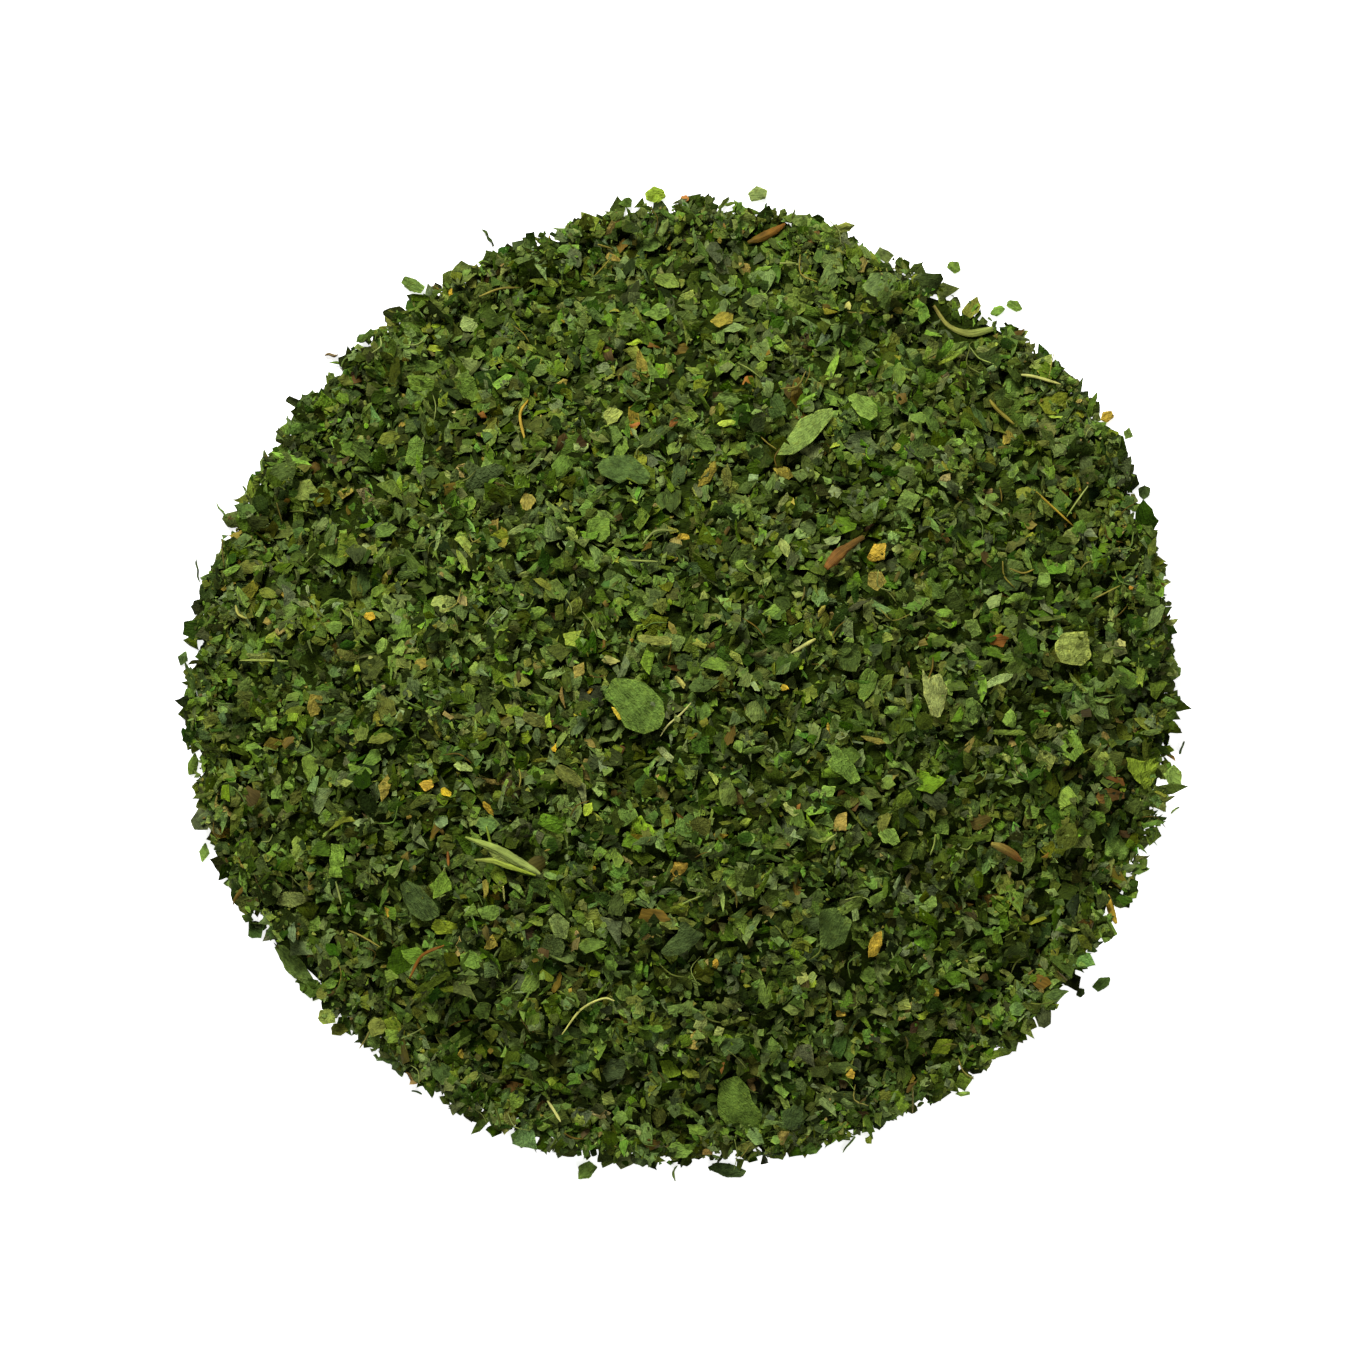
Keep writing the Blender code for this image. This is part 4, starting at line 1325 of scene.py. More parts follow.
def leaf_of_node(name, shade, draw):
    """A bent, veined leaf in the place of one solid of the model."""
    points = node_points(name)
    middle, axes = lying_axes(points)
    rim = leaf_rim(name, (points - middle) @ axes.T, middle, axes, draw)
    half_size = np.abs(rim).max(axis=0)
    shapes = draw_shapes(draw, 1, **LEAF_BENDS)
    thick = np.array([LEAF_THICKNESS])
    made, flat = bent_flakes(LEAF, (rim / half_size)[None], half_size[None], shapes, thick)
    turn = math.atan2(axes[0, 1], axes[0, 0])
    slope = -axes[2, :2] / axes[2, 2]
    middle[2] += rise_to_ground(middle, slope, half_size)
    placed = made[0] @ axes + middle
    placed[:, 2] += max(TABLE_GAP - placed[:, 2].min(), 0)
    rows, columns, across, up, out = footprint(*middle[:2], *half_size, turn)
    surface = middle[2] + slope[0] * across + slope[1] * up + LEAF_TOP
    below = ground[rows, columns]
    below[out < LEAF_COVER] = np.maximum(below, surface)[out < LEAF_COVER]
    mark_covered(*middle[:2], *(half_size + LEAF_MARGIN), turn)
    return join_flakes(
        "dry_" + name,
        SHADES[shade][0],
        LEAF,
        placed[None],
        flat,
        half_size[None],
        shade_tints(draw, shade, 1),
        draw,
        (name,),
    )


leaf_draw = np.random.default_rng(LEAF_SEED)
for name, shade in TAKEN_SHADES.items():
    leaf_of_node(name, shade, leaf_draw)
print("squares that later flakes keep off:", int(covered.sum()))

# %% [markdown]
# ### Noted flakes
# The next size down has no solids of its own in the model. Random ones would give the heap the
# right look, but not its own face. So these pieces were noted one by one while going over the
# photograph: where each lies, how large it is, which way it points, how many corners it has, and
# which shade it dried to.

# %% The table of noted flakes
NOTED_FLAKES = {
    # shade: rows of x, y, length, width, turn in degrees, corners
    "bright": (
        (-30.9, 37.4, 2.1, 2, 20, 5), (-23.4, 41.9, 2.6, 1, -10, 6), (-29.8, 25.5, 4.4, 2.1, 76, 6),
        (-23.6, 19.7, 2.8, 1.1, 84, 6), (-12.7, 48, 3.5, 1.2, 10, 6), (-2.9, 41.2, 3.9, 2.1, 6, 5),
        (10.7, 37.5, 3.3, 1.9, -50, 5), (16.4, 35, 4, 1.5, 62, 6), (8.8, 46, 2.2, 1, 8, 4),
        (8.4, 42.9, 2.1, 1, 12, 5), (-10.8, 19.4, 2.2, 2.1, 0, 5), (-3.4, 53.8, 2.2, 2, 30, 5),
        (27.6, 38.7, 2.2, 0.9, -18, 5), (34.8, 41.3, 2.4, 1.2, 18, 5), (42.7, 33.6, 2.2, 1.1, -30, 5),
        (35.9, 32.9, 2.2, 1.5, 75, 5), (50.6, 19.5, 2.1, 1.4, 5, 5), (49.3, 27.7, 1.8, 1.5, 60, 4),
        (-39.1, 9, 3.2, 1.1, 25, 5), (-33.6, 4.1, 2.5, 1.8, 75, 5), (-31.5, 3.9, 2.3, 1.6, 50, 4),
        (-49.9, 4.2, 2.7, 2.1, -25, 5), (-34.6, -8.5, 3.7, 2.1, 35, 5), (-45.8, -4.5, 2.7, 2.1, 40, 4),
        (-47.7, -7.1, 2.4, 1.2, 0, 5), (-10.6, 13.3, 3.2, 1.5, -25, 6), (-16.3, 7.8, 2.7, 1.6, 30, 5),
        (-1.5, 11.8, 1.5, 1.1, -60, 5), (9.8, 7.9, 2.8, 2.1, 30, 4), (12.7, -3.9, 1.1, 1.1, 0, 6),
        (12.6, -5.5, 1.1, 1.1, 0, 6), (16.1, -12, 2.9, 2.2, 35, 4), (14.7, -14.1, 3, 1.3, 15, 6),
        (18.4, 4.6, 1.5, 1.3, 0, 5), (40, 11.5, 2.3, 2.2, 0, 5), (44.7, 11, 2.2, 1.9, 0, 5),
        (32, 5.8, 3.4, 2.7, -45, 4), (36.2, 2.9, 3.7, 1.6, 15, 5), (20.4, -0, 4.9, 2.4, 64, 5),
        (36.1, -4.1, 2.6, 2.1, -65, 5), (22.9, -17.1, 3.8, 2.1, -40, 5), (24.4, -9.3, 2.4, 1.1, -35, 4),
        (23.9, 11.3, 1.5, 1.1, 5, 5), (27.4, 11.2, 2.2, 1.3, -10, 5), (-23.5, -30.6, 3.8, 2.4, -15, 5),
        (-21.4, -25.3, 3.7, 2, 10, 5), (-30.5, -37, 2.2, 1.3, 55, 5), (-20.8, -38.2, 1.5, 1.4, 0, 5),
        (-37.5, -26.2, 2.4, 1.5, 40, 5), (-8.1, -31.3, 2.4, 2.1, 80, 6), (-3.4, -38.3, 3.2, 1.4, -5, 5),
        (-8.6, -39, 2.7, 1.9, 62, 4), (-17, -33.4, 3.2, 2.3, 45, 5), (10.7, -45.1, 2.8, 2.6, -50, 4),
        (-0.3, -51.7, 3.5, 2.4, 5, 5), (-7.5, -50.4, 2.5, 0.9, 6, 6), (-12.2, -43.6, 2, 1, 5, 5),
        (40.6, -21.3, 2.6, 1.9, 10, 5), (39.6, -31.9, 2.6, 1.6, 0, 4), (31, -45.6, 1.8, 0.8, 8, 5),
    ),
    "brown": (
        (-40.9, 23.9, 2.2, 1.3, 50, 6), (15.9, 41.8, 1.5, 1.2, 0, 5), (-1.9, 34.8, 2.4, 0.7, -8, 6),
        (12.3, 32.8, 2.6, 1, 78, 6), (-0.2, 37, 2.2, 2, 0, 5), (-27.5, -16.1, 3.7, 1, 55, 6),
        (-44, -6.6, 2.1, 1.5, 50, 5), (5.2, -5.9, 3, 1.4, 72, 6), (-3.4, -25.9, 3.9, 2.1, -10, 5),
        (-14, -33.2, 2.7, 0.9, 68, 6), (-3.5, -51, 2.8, 2, 0, 5),
    ),
    "cream": (
        (18.1, 41.7, 1.6, 1.1, -70, 5), (1.3, 10.9, 1.1, 1, 0, 6), (-8.3, 2.5, 2.5, 1.4, -10, 6),
        (48.4, 4.4, 1.4, 1.1, 5, 5), (28.8, -14.4, 1.6, 1.2, -30, 5), (26.3, -16.7, 2, 0.7, -24, 5),
        (-11.8, -39.2, 1.6, 0.6, -5, 6),
    ),
    "dark": (
        (-22.3, 22.8, 5.9, 2.7, 30, 6), (-36.6, 32.1, 3.2, 1.2, -10, 5), (-28.1, 23.5, 2.2, 2, 0, 5),
        (-0.6, 23.3, 3.4, 1.8, 85, 6), (17, 39, 2.4, 1.1, 70, 6), (32.8, 29.4, 3.7, 1.5, -60, 6),
        (33.5, 24, 3, 1.5, -20, 6), (-44.3, 11.2, 3.1, 2.2, -40, 6), (-35.6, 11, 4.2, 2, 82, 6),
        (-38.3, -3.9, 5.1, 0.9, 3, 6), (-0.1, 2.2, 2.8, 2.3, 80, 5), (2, -0.3, 4.6, 2.1, 12, 5),
        (8.7, 2.7, 3, 2.1, -10, 5), (35.9, 11.3, 3.5, 2.2, -10, 6), (50.8, -3.1, 2.7, 1.6, 82, 5),
        (-26.7, -43.1, 3.4, 3, -60, 6), (5.4, -40.2, 4.2, 2.1, 28, 6), (-3.4, -42.3, 5.7, 0.8, -78, 6),
        (-7.5, -42.9, 3.2, 3.1, 0, 6), (12.1, -47.8, 4, 3.4, 60, 6), (44.1, -34.4, 1.5, 1.1, 80, 5),
        (41, -34.4, 3.4, 2, 15, 5),
    ),
    "gold": (
        (-25.8, 43.3, 1.3, 0.8, 80, 6), (-34.7, 7.4, 1.8, 1.5, 0, 5), (-28.6, -11.3, 2.2, 1.7, -20, 5),
        (-26.5, -12.1, 2.2, 1.1, -50, 6), (-21.7, -13.9, 2.7, 1.1, -50, 6), (-0.1, 16.2, 2.2, 1, -5, 5),
        (-10.5, -0.9, 1.1, 0.9, 35, 5), (16, -5.1, 2.2, 0.6, 88, 6), (-14.3, -7.1, 1.5, 1.1, 70, 5),
        (11.1, -0.5, 1.1, 1, 0, 5), (21.4, 14.2, 3.3, 2.2, 40, 4), (-24.7, -41, 1.3, 0.9, -75, 5),
        (-32.9, -25.4, 1.3, 0.6, -75, 6), (-0.5, -20.6, 2.7, 2, -35, 5), (3.5, -31.1, 1.3, 1.1, 80, 5),
        (-12.5, -34.1, 1.1, 0.7, 0, 5), (18.4, -43.2, 1.5, 1.4, 0, 6), (17.4, -36.7, 1.6, 1, 0, 5),
        (27.9, -34.2, 1.4, 1.3, 0, 6),
    ),
    "green": (
        (-28.6, 35.1, 4, 2, -5, 5), (-29.2, 33.1, 3.7, 3.1, -20, 5), (-29.8, 39, 3.7, 1.3, -35, 6),
        (-21.1, 34.3, 2.2, 2.1, 0, 4), (-24.2, 34.1, 2.6, 1.3, 0, 4), (-35.5, 23.7, 2.8, 1.1, 0, 4),
        (-41.4, 27.4, 2.6, 1.1, 40, 6), (-46.4, 20.9, 2.7, 1, 85, 6), (-38.3, 23.8, 1.7, 1.2, 80, 5),
        (-30, 21.5, 1.8, 1.5, 0, 5), (-4, 48.5, 4.5, 2.2, 5, 6), (0.4, 40.7, 2.8, 1.1, -12, 6),
        (-10.1, 38, 2.7, 2.6, 0, 6), (6, 48.5, 3.7, 2.2, -50, 5), (14.2, 41.1, 2.6, 2, 5, 5),
        (-3.3, 34.1, 3.7, 1.1, -70, 6), (-0, 29.1, 2.2, 2, 10, 5), (-6.9, 26.1, 2.7, 2.1, 70, 6),
        (-13.6, 24, 3.1, 2.6, 50, 6), (2.1, 26.7, 3.2, 2.2, -20, 5), (-1.1, 26.1, 2.4, 2.1, 60, 5),
        (4.9, 31.4, 3.7, 2.4, 8, 5), (18.1, 25, 3.2, 1.5, -22, 5), (8.5, 19.2, 2.4, 1.5, 0, 5),
        (-15.8, 34.6, 2.2, 1.7, 0, 5), (-6.4, 53.4, 2.2, 1.6, 15, 5), (8.4, 54, 2.4, 2.2, 0, 6),
        (21.7, 39.8, 3.1, 2, -20, 5), (23.9, 34.1, 3.5, 1.9, -76, 6), (26.4, 41.1, 3.2, 1.5, -75, 5),
        (25, 42.9, 1.7, 1.5, 0, 4), (30.4, 37.4, 3.2, 1.1, 28, 5), (35.9, 38.7, 2.4, 1.6, 48, 4),
        (26.1, 29.4, 2.4, 2, 5, 6), (39.4, 30.6, 2, 1.4, 30, 5), (38.1, 29.1, 2.1, 1.5, -70, 5),
        (34.2, 20.6, 2.4, 1.7, 0, 5), (42.5, 27, 2.2, 1.5, 0, 5), (36.6, 23.4, 2.2, 1.8, 60, 5),
        (-48.9, 9.5, 3.3, 1.5, -55, 6), (-44, 7.9, 2.4, 2.2, 0, 5), (-33.1, 16.9, 2.6, 2.2, 20, 5),
        (-38.7, 6.1, 2.2, 2.2, 0, 5), (-48, 4.4, 2, 1.2, -65, 5), (-48.7, -0.8, 4.8, 1.6, 68, 6),
        (-52, 1, 2.7, 0.9, -48, 6), (-41.6, -9.3, 3.9, 2.1, 82, 6), (-35.9, -9.6, 4, 1.6, -20, 5),
        (-43.8, -11.4, 2, 1.2, 10, 6), (-50.2, -9.7, 4.4, 1.3, -74, 6), (-39.7, -14.6, 3.2, 1.5, 50, 5),
        (-9.5, 17.3, 3.5, 3.2, 0, 6), (-2.8, 11.2, 2.2, 2, 80, 6), (14, 11.5, 2.4, 1.9, 0, 5),
        (3.5, 2.2, 3.4, 2.2, -15, 6), (-2.8, 1.4, 3.7, 2.4, -5, 5), (2.1, -3.2, 2.4, 2.2, 80, 6),
        (-0.3, -7.4, 1.5, 1.4, 0, 6), (-15.1, -17.6, 2, 1.6, 10, 5), (7.6, -7.4, 3.7, 1.1, 12, 6),
        (42.7, 12.9, 2.2, 2.2, 10, 5), (36.2, 7.9, 2.2, 1.2, -5, 6), (22.9, -3, 2.4, 1.3, 5, 5),
        (32, -3.2, 3.7, 2.2, 85, 6), (42.1, -0.6, 3.1, 1.9, 10, 5), (48.1, -2.2, 2.7, 1.5, 65, 5),
        (33.2, -13, 2.7, 1.3, 80, 4), (-41, -26.7, 2.3, 2, 0, 5), (-25, -21.2, 2.7, 1.3, -20, 5),
        (-22.3, -36.3, 2.7, 2.5, 0, 5), (-27.9, -36.8, 2.2, 1.8, -60, 5), (-24.7, -39.4, 3, 1.9, 15, 5),
        (-10.1, -28.9, 3.3, 2.4, -5, 6), (-4.5, -23.6, 2.2, 1.9, -60, 4), (13.5, -28.5, 3.4, 2.2, -5, 4),
        (-6.7, -34.3, 2.8, 1.9, 78, 6), (8.2, -48.7, 3.2, 1.9, -76, 6), (1.7, -49.5, 3, 1.9, -10, 5),
        (-7, -48, 2.2, 2.1, 0, 5), (8.7, -34.3, 4.9, 1.6, -80, 5), (-11, -50, 2, 1.2, 10, 5),
        (21.5, -23.9, 2.8, 2.1, 32, 4), (27.4, -24.5, 3, 1.7, 66, 4), (29.3, -42.9, 2.7, 2.2, -20, 5),
        (20.6, -32.4, 3.2, 2.5, -10, 5), (33.7, -31.4, 2, 1.1, -50, 5),
    ),
    "lime": (
        (-27.1, 39.5, 2, 0.8, -8, 6), (-27.5, 37.1, 2.6, 0.9, 5, 6), (-15, 44.3, 5.3, 1.5, -4, 4),
        (11.6, 37, 2, 0.8, -55, 6), (-5.4, 37.8, 2.8, 0.8, 10, 6), (-8.3, 36.7, 1.4, 1.2, 0, 5),
        (-9.8, 25.9, 1.5, 0.5, -55, 6), (5, 28.8, 2.7, 1, 10, 6), (16.8, 26.4, 1.7, 1.4, 80, 4),
        (3.5, 19.6, 1.6, 1.4, 60, 5), (41.1, 29.5, 2.6, 0.6, -6, 6), (-32.9, 13.7, 1.3, 1.1, 20, 5),
        (-36.3, 1.6, 1.5, 1.2, 60, 4), (1.7, 17.1, 1.4, 1.1, 45, 4), (-12.4, 5.1, 3.2, 2.3, 35, 4),
        (-4.9, 6.2, 2.2, 0.9, 10, 6), (-15.3, -4.3, 2.2, 1.7, 60, 4), (-10.7, -13.9, 2, 1.5, 70, 5),
        (40, 14, 2.7, 0.6, -80, 6), (48.6, -11.8, 0.8, 0.7, 0, 5), (-26.5, -27.2, 4, 2.6, -5, 6),
        (-30.3, -41.5, 1.5, 1, -75, 5), (4.6, -19.7, 1.6, 0.7, 20, 6), (14.3, -33.4, 1.5, 1.1, -60, 4),
        (-14.5, -44.1, 2.1, 1.2, 30, 4), (26.6, -36.8, 2.1, 1.1, 16, 5), (20.5, -50.7, 2.1, 1.2, 0, 5),
    ),
    "olive": (
        (-23.4, 44.5, 2.1, 1.7, 10, 5), (-32.7, 27.2, 3.1, 2.4, 20, 5), (-37.4, 33.5, 2.3, 1.7, 10, 5),
        (-6.2, 46.9, 3.2, 0.8, -55, 6), (5.4, 21.8, 2, 1.7, 0, 6), (38.1, 32.3, 2.2, 1.5, 12, 5),
        (23.3, 37.9, 2.2, 1.5, -65, 6), (37.6, 21.1, 2.5, 2.1, 10, 5), (21.9, 34.3, 2.2, 1.1, 75, 5),
        (-48, 12.9, 3.5, 2.1, 5, 6), (-46, 9.9, 3, 1.4, -20, 5), (-34.4, 14.7, 2.1, 2, 0, 4),
        (-33.2, -2.9, 3.9, 2.7, -70, 6), (-33.8, -6.1, 3.5, 1.5, 14, 5), (-52.4, -4.1, 2.7, 2.1, 80, 5),
        (-12.2, 8.3, 3.5, 1.5, 50, 6), (-2.6, 8.6, 2.4, 1.8, -65, 6), (7.2, 17, 2.3, 1.5, 0, 4),
        (49.2, -6.7, 5.3, 1.3, -46, 6), (39.3, -5.2, 3, 2.3, 5, 5), (43.5, -3.9, 2.1, 1.4, -45, 5),
        (-38.4, -38.5, 2.2, 2, 0, 6), (-33.8, -38, 2.6, 2.4, 20, 6), (-19.9, -43.6, 2.1, 1.9, 0, 5),
        (-45.1, -21.1, 2, 1, 0, 5), (-10.3, -25.8, 2.3, 2.1, 0, 5), (6.9, -51.4, 2.7, 1.8, 5, 4),
        (-2.8, -48.2, 2.6, 2.1, 80, 6), (28.8, -37.5, 1.8, 1.5, 0, 5), (33, -25.8, 2.1, 1.2, 0, 6),
    ),
    "pale": (
        (-23.9, 39.8, 2.9, 2.3, -15, 5), (-11.4, 26.2, 2.4, 1.6, -5, 5), (-24.6, -9.2, 3, 1.3, -16, 6),
        (-35.6, -15.4, 3, 1.2, 15, 5), (16.7, 16, 2.5, 1.2, 28, 5), (-14.7, 0.9, 2.9, 1.3, 22, 5),
        (-2.1, -7.9, 3.5, 1.1, -46, 6), (34.5, 9, 3.2, 1.9, 32, 5), (35.1, 0.5, 5, 1.3, 26, 6),
        (3.1, -29.5, 2.1, 0.9, 58, 5), (19.1, -25.7, 2.4, 1.5, 84, 4), (32.2, -30.6, 2.1, 0.7, 22, 6),
    ),
    "rust": (
        (-22.3, 29.7, 1.2, 1, 0, 4), (7.2, 33.5, 1.9, 1.2, 55, 5), (-1, 29, 1.9, 0.8, 42, 6),
        (-5.5, 28.5, 2.2, 0.7, 22, 6), (12.8, 29.5, 1.5, 0.6, 5, 5), (0.1, 53.8, 1.7, 1.2, -10, 5),
        (12.7, -13.7, 1.2, 0.7, 85, 5), (35, 4.7, 2.5, 1.6, 5, 5), (4.3, -42.4, 2, 0.5, 80, 6),
    ),
    "straw": (
        (-21.1, 41.7, 1.5, 1.2, 80, 4), (-26.4, 32.7, 2.2, 0.7, 35, 6), (-21.6, 27.9, 1.8, 1.5, 40, 4),
        (-26.2, 23.2, 2, 1, -60, 6), (5.5, 50.8, 2.2, 1.4, -60, 5), (-7.2, 45, 2, 0.7, 45, 6),
        (0.5, 42.8, 1.8, 1.2, 20, 5), (-7.9, 29.6, 2.6, 2.3, 35, 6), (17.4, 50.1, 3.7, 1.5, 5, 5),
        (33.3, 36.8, 2.7, 1.2, -15, 4), (39.6, 35.3, 3.5, 2.2, 25, 5), (-24.5, 15.7, 3.5, 1.5, -40, 6),
        (-26.5, 8.8, 3.5, 2.7, 10, 6), (-12.4, 16.5, 2.4, 1.4, -65, 5), (2.1, 9.6, 1.6, 1.4, 60, 4),
        (11, 15.1, 3.2, 1.4, -62, 5), (12.7, 10, 2.7, 1.2, 5, 5), (5.8, 2.8, 2.6, 1, -52, 5),
        (5.2, -3.1, 2, 1.5, 10, 5), (11.8, -14, 3, 1.1, -42, 6), (3.3, -10.5, 2.1, 0.7, -60, 6),
        (23.7, 14.9, 1.8, 1.6, 0, 5), (23.6, -2, 3.7, 1, -26, 6), (35.8, -8.3, 1.9, 1.6, 0, 4),
        (32.3, -9, 2.1, 1.1, 70, 5), (47.4, 7.6, 2.2, 1.4, 75, 4), (54, 6.6, 2.4, 1.1, 10, 4),
        (52.9, -13.8, 1.6, 1.1, 80, 4), (-39.4, -37, 2.5, 2.2, 0, 6), (8.6, -30.6, 2.1, 1.4, -10, 4),
        (14, -36.3, 2.7, 1.8, -80, 4), (5.4, -37.5, 4.2, 1.7, 16, 4), (4, -38.7, 1.8, 1.4, 0, 4),
        (2, -37.7, 2.2, 1.8, 55, 5), (-12.6, -31.6, 1.8, 1.1, 0, 4), (-8.4, -46, 2.2, 2.1, -15, 4),
        (15.7, -45, 3.5, 1.1, -18, 6), (35.6, -32.1, 2.1, 0.9, -26, 6), (42.7, -27.1, 2.5, 0.7, -14, 6),
        (45.4, -20.4, 2.1, 1.3, 0, 4), (24.5, -35.7, 2, 1.6, 0, 4),
    ),
    "tan": (
        (6.8, 46, 2, 1.4, -55, 5), (-4.6, 35.5, 3.7, 1.9, -62, 5), (-13.3, 33.3, 1.8, 1.2, 5, 4),
        (11.2, 23.4, 3, 1.4, -22, 6), (-17.4, 20.3, 2.9, 2.2, 85, 6), (23.7, 41.3, 1.6, 1, 0, 6),
        (-33.2, 11.5, 2.7, 0.9, 82, 6), (-29.2, 2.2, 2.1, 1.8, 0, 5), (-40.9, -2.5, 3.9, 2.4, 78, 6),
        (-33.2, -11.8, 3.7, 1.4, 80, 6), (-1.3, 6.1, 1.8, 1.1, -70, 5), (-5.5, -14.9, 1.3, 0.7, -75, 5),
        (15.3, 8.1, 2.2, 0.7, 70, 6), (21.2, -6.4, 3.5, 0.9, -12, 6), (31.5, -7.3, 3.7, 0.9, 62, 6),
        (-21.4, -28.9, 2.2, 1.6, 70, 6), (-22, -22.8, 3, 1.1, 84, 6), (17, -39.7, 2.3, 0.8, 15, 6),
    ),
}

ON_TOP_FLAKES = {
    "gold": ((-7.4, -3.4, 2.3, 0.5, -59, 6),),
}
print("noted flakes:", sum(len(rows) for rows in NOTED_FLAKES.values()))

# %% [markdown]
# ### Laying the noted flakes
# They settle as the common flakes do, but flatter, and with more points each, for finer bends. They
# could be laid in the table's order. The darkest come first here, so they never hide a bright one.

# %% Lay the noted flakes
NOTED_SEED = 19
NOTED_HALF = 0.55
NOTED_LEAN = 0.08
NOTED_SINK = (0.1, 0.3)
NOTED_TEARING = 0.04
ON_TOP_SINK = (0.0, 0.05)
NOTED_BENDS = {
    "roll": 0.45,
    "second_roll": 0.15,
    "twist": 0.15,
    "crease": 0.22,
    "ripple": 0.12,
    "ripple_length": (1.2, 2.4),
}


def lay_noted(table, draw, name, sink):
    """Lay the flakes of a table, the darkest shades first, then join those of one slot."""
    rows = [(shade, *row) for shade, group in table.items() for row in group]
    rows.sort(key=lambda row: SHADES[row[0]][3])
    values = np.array([row[1:] for row in rows], dtype=float)
    x, y, length, breadth, turn, corners = values.T
    x, y = under_view(x, y)
    shades = [row[0] for row in rows]
    half_size = np.stack([length, breadth], axis=1) * NOTED_HALF
    turn = np.radians(turn)
    points, flat = lay_flakes(
        draw,
        PATCH,
        x,
        y,
        half_size,
        turn,
        corners.astype(int),
        NOTED_LEAN,
        sink,
        NOTED_BENDS,
        NOTED_TEARING,
    )
    laid = np.isfinite(points[:, 0, 2])
    for number in np.flatnonzero(laid):
        mark_covered(x[number], y[number], *half_size[number], turn[number])
    tint = np.concatenate([shade_tints(draw, shade, 1) for shade in shades])
    slots = np.array([SHADES[shade][0] for shade in shades])
    for slot in sorted(set(slots)):
        chosen = laid & (slots == slot)
        join_flakes(
            f"{name}_{slot}",
            slot,
            PATCH,
            points[chosen],
            flat[chosen],
            half_size[chosen],
            tint[chosen],
            draw,
            ("flake_heap",),
        )


noted_draw = np.random.default_rng(NOTED_SEED)
lay_noted(NOTED_FLAKES, noted_draw, "noted", NOTED_SINK)
ceiling[:] = np.inf
lay_noted(ON_TOP_FLAKES, noted_draw, "edge_strip", ON_TOP_SINK)

# %% [markdown]
# ### Splinters and stems
# A stalk is a tube round a bent path. Ring i has its middle on the path. Its points lie on an
# ellipse across the path, whose half axes follow a table of widths, and grooves along the fibres
# are cosines of a multiple of the angle. A curve object with a round bevel would be quicker, but
# it has neither grooves nor a flat side, and each splinter here swells and thins along its length.

# %% Tubes
STALK_SIDES = 14
STALK_RINGS = 22
SMALL_GROOVE = 0.6
ROUGHNESS_OF_GROOVE = 0.35
WALL_MAP_SHARE = 0.8
CAP_MAP_RADIUS = 0.085
CAP_MAP_PLACES = ((0.905, 0.25), (0.905, 0.75))
TUBE_MAP_MARGIN = 0.02


def smooth_path(points, count):
    """A curve through some points: Catmull-Rom pieces, with even steps of the parameter."""
    points = np.asarray(points, dtype=float)
    ends = np.concatenate([2 * points[:1] - points[1:2], points, 2 * points[-1:] - points[-2:-1]])
    place = np.linspace(0, len(points) - 1 - 1e-9, count)
    part = place.astype(int)
    t = (place - part)[:, None]
    a, b, c, d = ends[part], ends[part + 1], ends[part + 2], ends[part + 3]
    bend = (2 * a - 5 * b + 4 * c - d) * t ** 2 + (3 * b - a - 3 * c + d) * t ** 3
    return 0.5 * (2 * b + (c - a) * t + bend)


def tube_faces(rings, sides):
    """Triangles of the walls between the rings, and a fan for the cap at each end."""
    ring, side = np.meshgrid(np.arange(rings - 1), np.arange(sides), indexing="ij")
    after = (side + 1) % sides
    a, b = ring * sides + side, ring * sides + after
    c, d = a + sides, b + sides
    walls = np.stack([np.stack([a, b, d], 2), np.stack([a, d, c], 2)], 2).reshape(-1, 3)
    line = np.arange(sides)
    line_after = (line + 1) % sides
    last = (rings - 1) * sides
    first_cap = np.stack([line_after, line, np.full(sides, rings * sides)], 1)
    last_cap = np.stack([last + line, last + line_after, np.full(sides, rings * sides + 1)], 1)
    return np.concatenate([walls, first_cap, last_cap])


def tube_map(share, sides):
    """Places on the unit square: the wall unrolled beside two small discs for the caps."""
    ring, side = np.meshgrid(np.arange(len(share) - 1), np.arange(sides), indexing="ij")
    u, v = share[ring] * WALL_MAP_SHARE, side / sides
    u_next, v_next = share[ring + 1] * WALL_MAP_SHARE, (side + 1) / sides
    near, near_next = np.stack([u, v], 2), np.stack([u, v_next], 2)
    far, far_next = np.stack([u_next, v], 2), np.stack([u_next, v_next], 2)
    first = np.stack([near, near_next, far_next], 2)
    second = np.stack([near, far_next, far], 2)
    line = np.arange(sides)
    line_after = (line + 1) % sides
    angle = line / sides * FULL_TURN
    circle = np.stack([np.cos(angle), np.sin(angle)], 1) * CAP_MAP_RADIUS
    maps = [np.stack([first, second], 2).reshape(-1, 2)]
    for centre, (one, two) in zip(CAP_MAP_PLACES, ((line_after, line), (line, line_after))):
        cap = np.stack([circle[one], circle[two], np.zeros((sides, 2))], 1) + np.array(centre)
        maps.append(cap.reshape(-1, 2))
    return np.concatenate(maps)


